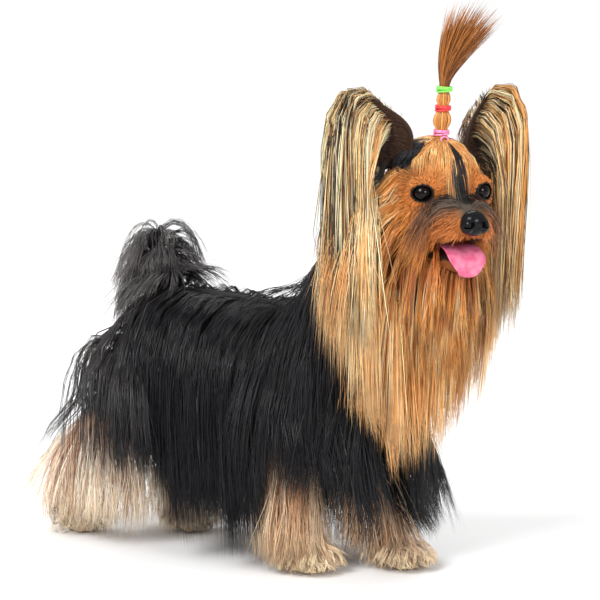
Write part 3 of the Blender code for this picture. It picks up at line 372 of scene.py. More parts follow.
def front_leg_path(side):
    sign = SIDE_SIGNS[side]
    lean = FRONT_PAWS[side] - 0.110
    return (
        Vector((0.104 + lean * 0.15, 0.034 * sign, 0.140)),
        Vector((0.088 + lean * 0.25, 0.038 * sign, 0.108)),
        Vector((0.092 + lean * 0.6, 0.035 * sign, 0.070)),
        Vector((0.100 + lean, 0.031 * sign, 0.034)),
        Vector((0.104 + lean, 0.030 * sign, 0.012)),
    )


def front_leg_pieces(side, grow=0.0):
    radii = ((0.020, 0.024), (0.0155, 0.018), (0.0125, 0.0135), (0.0115, 0.0115), (0.0115, 0.0115))
    shank = tube("shank", front_leg_path(side), radii, 14, 3, grow)
    return [shank] + paw_pieces(FRONT_PAWS[side], LEG_SIDE * SIDE_SIGNS[side], grow)


def hind_leg_path(side):
    sign = SIDE_SIGNS[side]
    lean = HIND_PAWS[side] + 0.120
    return (
        Vector((-0.088, 0.030 * sign, 0.152)),
        Vector((-0.078 + lean * 0.55, 0.040 * sign, 0.110)),
        Vector((-0.112 + lean * 0.8, 0.038 * sign, 0.078)),
        Vector((-0.137 + lean, 0.034 * sign, 0.052)),
        Vector((-0.130 + lean, 0.031 * sign, 0.014)),
    )


def hind_leg_pieces(side, grow=0.0):
    radii = ((0.026, 0.036), (0.021, 0.027), (0.0150, 0.0175), (0.0110, 0.0120), (0.0115, 0.0115))
    shank = tube("shank", hind_leg_path(side), radii, 14, 3, grow)
    return [shank] + paw_pieces(HIND_PAWS[side], LEG_SIDE * SIDE_SIGNS[side], grow)


def leg_pieces(grow=0.0):
    """The cores of all four legs."""
    pieces = []
    for side in SIDE_SIGNS:
        pieces += front_leg_pieces(side, grow) + hind_leg_pieces(side, grow)
    return pieces


def tail_core(grow=0.0):
    return [tube("tail_core", TAIL_PATH, TAIL_RADII, count=12, grow=grow)]


def ear_frame(sign):
    """The upright ear's root, its way up, its way across and the way its cup faces."""
    up = Vector((-0.12, 0.36 * sign, 1.0)).normalized()
    face = Vector((0.86, 0.50 * sign, 0.0))
    face = (face - up * face.dot(up)).normalized()
    return Vector((EAR_ROOT.x, EAR_ROOT.y * sign, EAR_ROOT.z)), up, up.cross(face) * sign, face


def ear_point(sign, t, s, out=0.0):
    """A point on the ear's middle sheet: t runs from root to tip, s from the inner rim to the outer one."""
    root, up, across, face = ear_frame(sign)
    swell = 0.60 + 0.42 * math.sin(math.pi * min(t / 0.80, 1.0))
    half = EAR_WIDTH / 2 * swell * math.sqrt(1 - 0.97 * t**2.4)
    bend = EAR_BEND * (1 - 0.45 * t)
    turn = s * bend
    sideways = math.sin(turn) / bend * half
    forward = (1 - math.cos(turn)) / bend * half
    point = root + up * (EAR_HEIGHT * t) + across * sideways + face * (forward - 0.006 * (1 - t))
    return point + (across * math.sin(turn) - face * math.cos(turn)) * out


def ear_pieces(sign, grow=0.0):
    """A thin leaf bent into a cup, with a rounded tip."""
    rows, columns = 20, 16
    bm = bmesh.new()
    sheets = []
    for way in (-1, 1):
        sheet = []
        for i in range(rows + 1):
            row = []
            for j in range(columns + 1):
                s = 2 * j / columns - 1
                out = (EAR_THICK / 2 * (1 - 0.5 * abs(s) ** 4) + grow) * way
                row.append(bm.verts.new(HEAD @ ear_point(sign, i / rows, s, out)))
            sheet.append(row)
        sheets.append(sheet)
    front, rear = sheets
    for i in range(rows):
        for j in range(columns):
            bm.faces.new((front[i][j], front[i][j + 1], front[i + 1][j + 1], front[i + 1][j]))
            bm.faces.new((rear[i][j], rear[i + 1][j], rear[i + 1][j + 1], rear[i][j + 1]))
    for i in range(rows):
        for j in (0, columns):
            bm.faces.new((front[i][j], rear[i][j], rear[i + 1][j], front[i + 1][j]))
    for j in range(columns):
        for i in (0, rows):
            bm.faces.new((front[i][j], front[i][j + 1], rear[i][j + 1], rear[i][j]))
    return [object_of("ear", bm)]


# Search trees

def surface_tree(pieces):
    """A search tree over the outside of these pieces, which are removed."""
    bm = bmesh.new()
    for piece in pieces:
        bm.from_mesh(piece.data)
        bpy.data.objects.remove(piece)
    bmesh.ops.triangulate(bm, faces=bm.faces[:])
    tree = BVHTree.FromBMesh(bm)
    bm.free()
    return tree


def off_surface(tree, point):
    """How far a point stands off the surface that tree holds, the nearest place and the way out."""
    near, face, _, _ = tree.find_nearest(point)
    offset = point - near
    if offset.length < TINY:
        return 0.0, near, face
    sign = 1 if offset.dot(face) > 0 else -1
    return offset.length * sign, near, offset.normalized() * sign


def along(values, place):
    """The value at a place on a line of (place, value) pairs."""
    if place <= values[0][0]:
        return values[0][1]
    for (start, low), (end, high) in zip(values, values[1:]):
        if place <= end:
            return low + (high - low) * (place - start) / (end - start)
    return values[-1][1]


def hem_height(x, side):
    """Where the body coat ends: it parts over the thigh and the front leg."""
    height = along(HEM_HEIGHTS, x)
    for middle, (rise, width) in ((THIGH_X, HEM_RISES["thigh"]), (FRONT_PAWS[side] - 0.012, HEM_RISES["front"])):
        height += rise * math.exp(-(((x - middle) / width) ** 2))
    return height


def drape(tree, root, normal, way, length, tip, clear, weight, pull=Vector(), step=0.0045):
    """The path of a lock's middle and its outward directions: it sets out along way and sinks under
    its own weight, the body that tree holds carries it at the clearance, and it ends at the length
    or at the height tip, which may depend on the place."""
    point = root.copy()
    heading = way.normalized()
    out = normal.copy()
    step = min(step, length / 6)
    path, outs = [root.copy()], [normal.copy()]
    travelled = 0.0
    lowest = tip if callable(tip) else lambda place: tip
    while travelled < length and point.z > lowest(point):
        heading = (heading + (DOWN + pull) * (weight * step / 0.01)).normalized()
        ahead = point + heading * step
        for _ in range(2):
            lift, near, face = off_surface(tree, ahead)
            reach = clear * min(1.0, 0.10 + travelled / 0.026)
            if lift >= reach - TINY:
                break
            ahead = near + face * reach
            heading = (heading - face * min(heading.dot(face), 0.0)).normalized()
            out = (out + face * 0.7).normalized()
        ahead.z = max(ahead.z, FLOOR_CLEAR)
        heading = (heading * 0.6 + (ahead - point).normalized() * 0.4).normalized()
        point = ahead
        travelled += step
        path.append(point.copy())
        outs.append(out.copy())
    return path, outs


def resampled(path, outs):
    """FINE evenly spaced points on a path, with the outward directions there."""
    points = np.array(path)
    ways = np.array(outs)
    gone = np.concatenate([[0], np.cumsum(np.linalg.norm(np.diff(points, axis=0), axis=1))])
    marks = np.linspace(0, gone[-1], FINE)
    even = np.stack([np.interp(marks, gone, points[:, k]) for k in range(3)], 1)
    kept = np.stack([np.interp(marks, gone, ways[:, k]) for k in range(3)], 1)
    return even, kept / np.maximum(np.linalg.norm(kept, axis=1, keepdims=True), 1e-9)


# Materials

def shaded(name, roughness, **sockets):
    """A Principled material with these constants on its own sockets."""
    made = bpy.data.materials.new(name)
    made.use_nodes = True
    shader = made.node_tree.nodes["Principled BSDF"]
    shader.inputs["Roughness"].default_value = roughness
    for socket, value in sockets.items():
        shader.inputs[socket.replace("_", " ")].default_value = value
    return made, made.node_tree, shader


def attribute_coat(name, roughness, speckle, scale, **sockets):
    """Colour kept on the mesh, broken up by noise at two scales."""
    made, tree, shader = shaded(name, roughness, **sockets)
    nodes, links = tree.nodes, tree.links
    colour = nodes.new("ShaderNodeAttribute")
    colour.attribute_name = "coat"
    place = nodes.new("ShaderNodeTexCoord")
    noise = nodes.new("ShaderNodeTexNoise")
    noise.inputs["Scale"].default_value = scale
    noise.inputs["Detail"].default_value = 3.0
    links.new(place.outputs["Object"], noise.inputs["Vector"])
    spread = nodes.new("ShaderNodeMapRange")
    spread.inputs["To Min"].default_value = 1.0 - speckle
    spread.inputs["To Max"].default_value = 1.0 + speckle
    spread.inputs["From Min"].default_value = 0.25
    spread.inputs["From Max"].default_value = 0.75
    links.new(noise.outputs["Fac"], spread.inputs["Value"])
    scaled = nodes.new("ShaderNodeVectorMath")
    scaled.operation = "SCALE"
    links.new(colour.outputs["Color"], scaled.inputs[0])
    links.new(spread.outputs["Result"], scaled.inputs["Scale"])
    links.new(scaled.outputs["Vector"], shader.inputs["Base Color"])
    return made


def bumped(tree, shader, scale, strength, distance, kind="noise"):
    """Adds fine relief to a material."""
    nodes, links = tree.nodes, tree.links
    place = nodes.new("ShaderNodeTexCoord")
    if kind == "noise":
        relief = nodes.new("ShaderNodeTexNoise")
        relief.inputs["Detail"].default_value = 6.0
        height = relief.outputs["Fac"]
    else:
        relief = nodes.new("ShaderNodeTexVoronoi")
        height = relief.outputs["Distance"]
    relief.inputs["Scale"].default_value = scale
    links.new(place.outputs["Object"], relief.inputs["Vector"])
    bump = nodes.new("ShaderNodeBump")
    bump.inputs["Strength"].default_value = strength
    bump.inputs["Distance"].default_value = distance
    links.new(height, bump.inputs["Height"])
    links.new(bump.outputs["Normal"], shader.inputs["Normal"])


def noise_colours(tree, shader, stops, scale):
    """Base colour from a ramp of linear colours over noise."""
    nodes, links = tree.nodes, tree.links
    place = nodes.new("ShaderNodeTexCoord")
    noise = nodes.new("ShaderNodeTexNoise")
    noise.inputs["Scale"].default_value = scale
    noise.inputs["Detail"].default_value = 5.0
    links.new(place.outputs["Object"], noise.inputs["Vector"])
    ramp = nodes.new("ShaderNodeValToRGB")
    ramp.color_ramp.elements[0].position = 0.35
    ramp.color_ramp.elements[1].position = 0.65
    for element, colour in zip(ramp.color_ramp.elements, stops):
        element.color = (*colour, 1.0)
    links.new(noise.outputs["Fac"], ramp.inputs["Fac"])
    links.new(ramp.outputs["Color"], shader.inputs["Base Color"])
    return ramp


# Colours, in linear light

BLACK = np.array((0.0065, 0.0065, 0.008))
BLUE_BLACK = np.array((0.010, 0.011, 0.015))
STEEL = np.array((0.050, 0.053, 0.062))
RUMP = np.array((0.055, 0.048, 0.046))
GREY = np.array((0.24, 0.22, 0.21))
UMBER = np.array((0.050, 0.024, 0.014))
RUST = np.array((0.42, 0.115, 0.025))
AMBER = np.array((0.80, 0.31, 0.065))
GOLD = np.array((0.86, 0.43, 0.130))
HONEY = np.array((0.93, 0.60, 0.250))
BLUSH = np.array((0.95, 0.78, 0.640))
CREAM = np.array((0.95, 0.77, 0.480))
TAN = np.array((0.74, 0.42, 0.240))
PALE = np.array((0.92, 0.68, 0.470))
SMOKE = np.array((0.110, 0.082, 0.060))


def blend(a, b, share):
    """Colours from a to b by each share, from 0 to 1."""
    share = np.clip(np.asarray(share, float), 0, 1)[..., None]
    return a * (1 - share) + b * share


def hump(values, middle, width):
    """1 at the middle, falling away over the width."""
    return np.exp(-(((values - middle) / width) ** 2))


def in_head(points):
    """Points of the dog's frame in the head's own frame."""
    matrix = np.array(HEAD.inverted())
    return points @ matrix[:3, :3].T + matrix[:3, 3]


def lid_gap(points):
    """How far each point lies round the nearer eye's opening: 1 on its rim, more outside it."""
    found = []
    for sign in (1, -1):
        matrix = np.array(eye_frame(sign).inverted())
        own = points @ matrix[:3, :3].T + matrix[:3, 3]
        gap = np.sqrt((own[:, 1] / LID_OPENING[1]) ** 2 + (own[:, 2] / LID_OPENING[2]) ** 2)
        away = np.linalg.norm(own, axis=1) > LID_RADIUS + 0.004
        found.append(np.where((own[:, 0] < 0.0) | away, 9.0, gap))
    return np.minimum(*found)


def crosses_face(paths):
    """Whether each strand passes in front of an eye's opening, the nose or the tongue."""
    count, rings, _ = paths.shape
    points = paths.reshape(-1, 3)
    p = in_head(points)
    nose = np.linalg.norm(p - np.array(NOSE_PLACE), axis=1)
    hidden = (nose < 0.0105) | ((p[:, 0] > 0.046) & (np.abs(p[:, 1]) < 0.0165) & (p[:, 2] < -0.0385) & (p[:, 2] > -0.072))
    for sign in (1, -1):
        matrix = np.array(eye_frame(sign).inverted())
        own = points @ matrix[:3, :3].T + matrix[:3, 3]
        inside = (own[:, 1] / 0.0084) ** 2 + (own[:, 2] / 0.0066) ** 2 < 1.0
        hidden |= inside & (own[:, 0] > 0.004) & (own[:, 0] < 0.030)
    return hidden.reshape(count, rings).any(1)


def head_marks(points):
    """The colour of hair at its root on the skull: amber face, dark stripe, bridge and ear base."""
    p = in_head(points)
    x, y, z = p[:, 0], p[:, 1], p[:, 2]
    colour = np.tile(AMBER, (len(p), 1))
    colour = blend(colour, GOLD, hump(z, 0.022, 0.014) * 0.8)
    around = np.minimum(
        np.linalg.norm(p - np.array(EYE_PLACE), axis=1),
        np.linalg.norm(p - np.array((EYE_PLACE.x, -EYE_PLACE.y, EYE_PLACE.z)), axis=1),
    )
    colour = blend(colour, RUST * 1.4, hump(around, 0.012, 0.008) * 0.6)
    muzzle = np.clip((x - 0.038) / 0.006, 0, 1) * (z <= -0.006)
    colour = blend(colour, RUST * 1.15, muzzle * 0.75)
    bridge = hump(y, 0.0, 0.0105) * np.clip((x - 0.042) / 0.006, 0, 1) * (z > -0.019)
    colour = blend(colour, SMOKE, bridge * 1.3)
    top = np.clip((z + 0.006) / 0.036, 0, 1)
    stripe = hump(y, 0.0035 + 0.001 * top, 0.0068 - 0.0036 * top) * (x > 0.0) * (z > -0.010) * (z < 0.024)
    colour = blend(colour, BLACK, stripe * 1.25)
    for side in (1, -1):
        spot = np.linalg.norm((p - np.array((0.004, 0.027 * side, 0.022))) / (0.018, 0.012, 0.015), axis=1)
        colour = blend(colour, BLACK * 1.5, hump(spot, 0, 1.0) * 1.3)
    lips = (x > 0.030) & (z < -0.0365)
    return np.where(lips[:, None], UMBER * 0.7, colour)


def body_marks(points):
    """The colour of hair at its root on the trunk."""
    x, z = points[:, 0], points[:, 2]
    colour = blend(np.tile(BLACK, (len(points), 1)), RUMP, np.clip((-0.045 - x) / 0.05, 0, 1) * 0.9)
    chest = (x > 0.118) & (z < 0.19) & ((points[:, 1] < -0.004) | (z > 0.170))
    return np.where(chest[:, None], RUST, colour)


def leg_marks(points):
    """Tan legs, paler towards the feet and black at the top."""
    tan = blend(np.tile(TAN, (len(points), 1)), PALE, np.clip((0.060 - points[:, 2]) / 0.05, 0, 1))
    return blend(tan, BLACK, np.clip((points[:, 2] - 0.100) / 0.012, 0, 1))


def ear_marks(points):
    """Dark short hair inside and at the base of the ears."""
    return np.tile(UMBER * 1.2, (len(points), 1))


def neck_marks(points):
    """Reddish roots under the golden fall, black on the nape."""
    middle = np.interp(points[:, 2], [0.172, 0.215, 0.258, 0.298], [0.105, 0.132, 0.162, 0.190])
    nape = points[:, 0] < middle - 0.002
    return np.where(nape[:, None], BLACK, np.tile(blend(AMBER, RUST, 0.4), (len(points), 1)))


def tail_marks(points):
    return np.tile(blend(BLACK, STEEL, 0.5), (len(points), 1))


MARKS = {
    "torso": body_marks,
    "neck": neck_marks,
    "skull": head_marks,
    "jaw": lambda points: np.tile(blend(AMBER, RUST, 0.95) * 0.7, (len(points), 1)),
    "front_right": leg_marks,
    "front_left": leg_marks,
    "hind_right": leg_marks,
    "hind_left": leg_marks,
    "tail": tail_marks,
    "ear": ear_marks,
}
REGIONS = list(MARKS)


# The skin

def region_trees():
    """A search tree for each part of the body."""
    return {
        "torso": surface_tree(torso_core(-INSET)),
        "neck": surface_tree(neck_core(-INSET)),
        "skull": surface_tree(skull_pieces(-INSET)),
        "jaw": surface_tree(jaw_pieces(-INSET)),
        "front_right": surface_tree(front_leg_pieces("right", -INSET)),
        "front_left": surface_tree(front_leg_pieces("left", -INSET)),
        "hind_right": surface_tree(hind_leg_pieces("right", -INSET)),
        "hind_left": surface_tree(hind_leg_pieces("left", -INSET)),
        "tail": surface_tree(tail_core(-INSET)),
        "ear": surface_tree(ear_pieces(1) + ear_pieces(-1)),
    }


def make_skin():
    """One skin for the whole animal, from nose to tail, with its lids and lips."""
    bulk = torso_core(-INSET) + neck_core(-INSET) + skull_pieces(-INSET) + jaw_pieces(-INSET)
    body = remeshed(joined("skin", bulk + leg_pieces(-INSET) + tail_core(-INSET)), VOXEL, 3)
    cuts = [block("floor", (-1, -1, -1), (1, 1, 0.0002))]
    for sign in (1, -1):
        cuts.append(ball("eye", (0, 0, 0), (EYE_RADIUS + 0.0003,) * 3, 28, 16, 0.0, eye_frame(sign)))
    cuts += lid_openings()
    cuts.append(block("groove", (0.060, -0.0004, -0.0450), (0.080, 0.0004, -0.0300), HEAD))
    for cut in cuts:
        boolean(body, [cut], "DIFFERENCE")
    skin = joined("skin", [body] + ear_pieces(1) + ear_pieces(-1))
    bm = bmesh.new()
    bm.from_mesh(skin.data)
    bmesh.ops.triangulate(bm, faces=bm.faces[:])
    bm.to_mesh(skin.data)
    bm.free()
    unwrap(skin)
    return skin


def unwrap(obj):
    """Gives an object the UV map OFBake, cut into flat islands."""
    bpy.context.view_layer.objects.active = obj
    obj.select_set(True)
    obj.data.uv_layers.new(name="OFBake")
    bpy.ops.object.mode_set(mode="EDIT")
    bpy.ops.mesh.select_all(action="SELECT")
    bpy.ops.uv.smart_project(angle_limit=math.radians(66), island_margin=0.002)
    bpy.ops.object.mode_set(mode="OBJECT")
    obj.select_set(False)


class Skin:
    """The skin's triangles as arrays, for rooting the coat."""

    def __init__(self, obj):
        mesh = obj.data
        points = np.zeros(len(mesh.vertices) * 3)
        mesh.vertices.foreach_get("co", points)
        corners = np.zeros(len(mesh.loops), int)
        mesh.loops.foreach_get("vertex_index", corners)
        flat = np.zeros(len(mesh.loops) * 2)
        mesh.uv_layers["OFBake"].uv.foreach_get("vector", flat)
        self.points = points.reshape(-1, 3)
        self.corners = corners.reshape(-1, 3)
        self.flat = flat.reshape(-1, 3, 2)
        a, b, c = (self.points[self.corners[:, k]] for k in range(3))
        cross = np.cross(b - a, c - a)
        self.area = np.linalg.norm(cross, axis=1) / 2
        self.normals = cross / np.maximum(self.area[:, None] * 2, 1e-12)
        self.middles = (a + b + c) / 3
        self.tree = BVHTree.FromPolygons(self.points.tolist(), self.corners.tolist())
        self.region = self.label()

    def label(self):
        """Which part of the body each triangle is nearest to."""
        trees = region_trees()
        found = np.zeros((len(REGIONS), len(self.middles)))
        for row, name in enumerate(REGIONS):
            tree = trees[name]
            found[row] = [tree.find_nearest(Vector(p))[3] for p in self.middles]
        return np.argmin(found, axis=0)

    def sample(self, chance, count, weights):
        """Random roots on the skin: places, normals, UV places."""
        share = self.area * weights
        picks = chance.choice(len(share), size=count, p=share / share.sum())
        r1, r2 = np.sqrt(chance.random(count)), chance.random(count)
        mix = np.stack([1 - r1, r1 * (1 - r2), r1 * r2], 1)
        places = (self.points[self.corners[picks]] * mix[..., None]).sum(1)
        flat = (self.flat[picks] * mix[..., None]).sum(1)
        return places, self.normals[picks], flat

    def nearest_flat(self, places):
        """The UV place on the skin nearest to each point."""
        found = np.zeros((len(places), 2))
        for i, place in enumerate(places):
            near, _, face, _ = self.tree.find_nearest(Vector(place))
            a, b, c = self.points[self.corners[face]]
            v0, v1, v2 = b - a, c - a, np.array(near) - a
            d00, d01, d11 = v0 @ v0, v0 @ v1, v1 @ v1
            d20, d21 = v2 @ v0, v2 @ v1
            base = d00 * d11 - d01 * d01
            if abs(base) < 1e-18:
                found[i] = self.flat[face][0]
                continue
            v, w = (d11 * d20 - d01 * d21) / base, (d00 * d21 - d01 * d20) / base
            found[i] = (np.array((1 - v - w, v, w)) @ self.flat[face])
        return found


# Strands

class Guides:
    """The middle lines of the locks of one part of the coat, as arrays of FINE points each."""

    def __init__(self):
        self.paths, self.outs, self.keys = [], [], []

    def add(self, path, outs, key):
        if len(path) < 4:
            return
        even, ways = resampled(path, outs)
        self.paths.append(even)
        self.outs.append(ways)
        self.keys.append(key)

    def close(self):
        self.path = np.array(self.paths)
        ahead = np.gradient(self.path, axis=1)
        self.ahead = ahead / np.maximum(np.linalg.norm(ahead, axis=2, keepdims=True), 1e-9)
        out = np.array(self.outs)
        out = out - self.ahead * (out * self.ahead).sum(2, keepdims=True)
        self.out = out / np.maximum(np.linalg.norm(out, axis=2, keepdims=True), 1e-9)
        self.side = np.cross(self.ahead, self.out)
        self.length = np.linalg.norm(np.diff(self.path, axis=1), axis=2).sum(1)
        self.tree = KDTree(len(self.keys))
        for i, key in enumerate(self.keys):
            self.tree.insert(key, i)
        self.tree.balance()


def at(values, guide, place):
    """Values of each strand's guide at its own places along it, from 0 to 1."""
    spot = np.clip(place, 0, 1) * (FINE - 1)
    low = np.minimum(spot.astype(int), FINE - 2)
    part = (spot - low)[..., None]
    rows = guide[:, None]
    return values[rows, low] * (1 - part) + values[rows, low + 1] * part


def grow_strands(guides, roots, normals, keys, chance, rings, look):
    """Centre lines and frames of strands that leave their own roots and gather into their guide's lock.

    look holds: gather, the share of the lock's width lost at the tip; loose, sideways wander;
    lift, how far strands of one lock lie over one another; wave, the height and count of curls;
    shorter, how much shorter some strands are; stray, the share that leaves the lock."""
    count = len(roots)
    guide = np.array([guides.tree.find(key)[1] for key in keys])
    t = np.linspace(0, 1, rings) ** look["spread"]
    reach = 1 - look["shorter"] * chance.random(count) ** 1.5
    place = t[None, :] * reach[:, None]
    centre = at(guides.path, guide, place)
    ahead = at(guides.ahead, guide, place)
    out = at(guides.out, guide, place)
    side = at(guides.side, guide, place)
    offset = roots - guides.path[guide, 0]
    along_side = (offset * guides.side[guide, 0]).sum(1)
    along_ahead = (offset * guides.ahead[guide, 0]).sum(1)
    stray = chance.random(count) < look["stray"]
    gather = np.where(stray, -0.6, look["gather"])
    keep = 1 - gather[:, None] * (t[None, :] ** look["late"])
    length = guides.length[guide]
    wander = chance.normal(0, 1, (count, 3))
    sway = look["loose"] * np.minimum(length, 0.10)
    sway = np.where(stray, sway * 2.2, sway)
    bend = (t[None, :] ** 1.6) * sway[:, None]
    across = along_side[:, None] * keep + wander[:, :1] * bend
    rise = look["lift"] * chance.random(count)[:, None] * np.sin(np.minimum(t * 3.0, 1.57))[None, :]
    rise = rise + np.abs(wander[:, 1:2]) * bend * np.where(stray, 0.7, 0.25)[:, None]
    height, turns = look["wave"]
    phase = chance.random((count, 1)) * 1.6 + (guide[:, None] * 2.399) % 6.283
    swing = height * np.minimum(t * 2.5, 1.0)[None, :]
    across = across + swing * np.sin(phase + turns * 6.283 * t[None, :])
    rise = rise + swing * 0.5 * (1 + np.cos(phase + turns * 6.283 * t[None, :]))
    lag = along_ahead[:, None] * (1 - t[None, :])
    centre = centre + side * across[..., None] + out * rise[..., None] + ahead * lag[..., None]
    centre[:, 0] = roots - normals * 0.0010
    centre[..., 2] = np.maximum(centre[..., 2], 0.0012)
    return centre, out, guide, t, length * reach


def strand_mesh(name, skin, centre, out, width, thick, colours, taper, flat, shader):
    """A mesh of closed three-sided strands, each drawn to a point, with colour and bake places."""
    count, rings, _ = centre.shape
    ahead = np.gradient(centre, axis=1)
    ahead /= np.maximum(np.linalg.norm(ahead, axis=2, keepdims=True), 1e-9)
    out = out - ahead * (out * ahead).sum(2, keepdims=True)
    out /= np.maximum(np.linalg.norm(out, axis=2, keepdims=True), 1e-9)
    side = np.cross(ahead, out)
    half = (width[:, None] * taper[None, :] / 2)[..., None]
    high = (thick[:, None] * taper[None, :])[..., None]
    body = np.stack([centre - side * half, centre + side * half, centre + out * high], 2)
    body = body[:, :-1]
    rings -= 1
    tips = centre[:, -1:]
    each = rings * 3 + 1
    points = np.concatenate([body.reshape(count, rings * 3, 3), tips], 1).reshape(-1, 3)
    faces, places = [], []
    for i in range(rings - 1):
        for k in range(3):
            j = (k + 1) % 3
            a, b, c, d = i * 3 + k, i * 3 + j, (i + 1) * 3 + j, (i + 1) * 3 + k
            u0, u1 = k / 3, (k + 1) / 3
            v0, v1 = i / rings, (i + 1) / rings
            faces += [(a, b, c), (a, c, d)]
            places += [((u0, v0), (u1, v0), (u1, v1)), ((u0, v0), (u1, v1), (u0, v1))]
    faces.append((2, 1, 0))
    places.append(((0.9, 0.0), (0.5, 0.0), (0.5, 0.04)))
    last = (rings - 1) * 3
    for k in range(3):
        faces.append((last + k, last + (k + 1) % 3, rings * 3))
        places.append(((k / 3, 1 - 1 / rings), ((k + 1) / 3, 1 - 1 / rings), ((k + 0.5) / 3, 1.0)))
    faces, places = np.array(faces), np.array(places)
    corners = (faces[None] + (np.arange(count) * each)[:, None, None]).reshape(-1)
    mesh = bpy.data.meshes.new(name)
    mesh.vertices.add(len(points))
    mesh.vertices.foreach_set("co", (points - np.array(CENTRE)).astype(np.float32).ravel())
    mesh.loops.add(len(corners))
    mesh.loops.foreach_set("vertex_index", corners.astype(np.int32))
    total = len(corners) // 3
    mesh.polygons.add(total)
    mesh.polygons.foreach_set("loop_start", (np.arange(total) * 3).astype(np.int32))
    mesh.update(calc_edges=True)
    mesh.polygons.foreach_set("use_smooth", np.ones(total, bool))
    layer = mesh.uv_layers.new(name="OFBake")
    spots = flat[:, None, None, :] + (places[None] - 0.5) * PATCH
    layer.uv.foreach_set("vector", spots.astype(np.float32).ravel())
    tint = mesh.color_attributes.new("coat", "FLOAT_COLOR", "POINT")
    shades = np.concatenate(
        [np.repeat(colours[:, :-1], 3, axis=1), colours[:, -1:]], 1
    ).reshape(-1, 3)
    tint.data.foreach_set("color", np.concatenate([shades, np.ones((len(shades), 1))], 1).astype(np.float32).ravel())
    mesh.materials.append(shader)
    obj = bpy.data.objects.new(name, mesh)
    bpy.context.scene.collection.objects.link(obj)
    return obj


def gradient(stops, t):
    """Colours along each strand from (place, colours) stops."""
    found = np.zeros((len(stops[0][1]), len(t), 3))
    for i, here in enumerate(t):
        for (start, low), (end, high) in zip(stops, stops[1:]):
            if start <= here <= end:
                share = (here - start) / (end - start)
                found[:, i] = low * (1 - share) + high * share
    return found


def hairs(name, skin, guides, roots, normals, flat, keys, chance, rings, look, paint, shader, limit=190000):
    """Strands on these roots, in as many pieces as the limit on triangles asks for."""
    centre, out, guide, t, length = grow_strands(guides, roots, normals, keys, chance, rings, look)
    if look.get("clears_face"):
        kept = ~crosses_face(centre)
        centre, out, guide, length = centre[kept], out[kept], guide[kept], length[kept]
        roots, flat = roots[kept], flat[kept]
    width = look["width"] * chance.uniform(0.75, 1.25, len(roots))
    thick = width * 0.45
    taper = np.interp(t, [0, 0.15, 0.6, 0.9, 1.0], [0.75, 1.0, 1.0, 0.65, 0.35])
    colours = paint(roots, guide, chance, t, length)
    each = (rings - 2) * 6 + 4
    parts = max(1, math.ceil(len(roots) * each / limit))
    made = []
    for k in range(parts):
        rows = slice(k * len(roots) // parts, (k + 1) * len(roots) // parts)
        label = name if parts == 1 else f"{name}_{k + 1}"
        made.append(strand_mesh(label, skin, centre[rows], out[rows], width[rows], thick[rows],
                                colours[rows], taper, flat[rows], shader))
    return made


def varied(colour, chance, amount):
    """Each colour made a little lighter or darker."""
    shift = np.exp(chance.normal(0, amount, (len(colour), 1)))
    return np.clip(colour * shift, 0, 0.97)


def lock_values(guide, seed):
    """One random value from 0 to 1 for each strand's lock."""
    return np.random.default_rng(seed).random(guide.max() + 1)[guide]


# Regions of the coat

LOOK = {
    "gather": 0.70, "late": 2.6, "loose": 0.05, "lift": 0.0018, "wave": (0.0003, 1.2), "shorter": 0.22,
    "stray": 0.05, "width": 0.00056, "spread": 1.25,
}


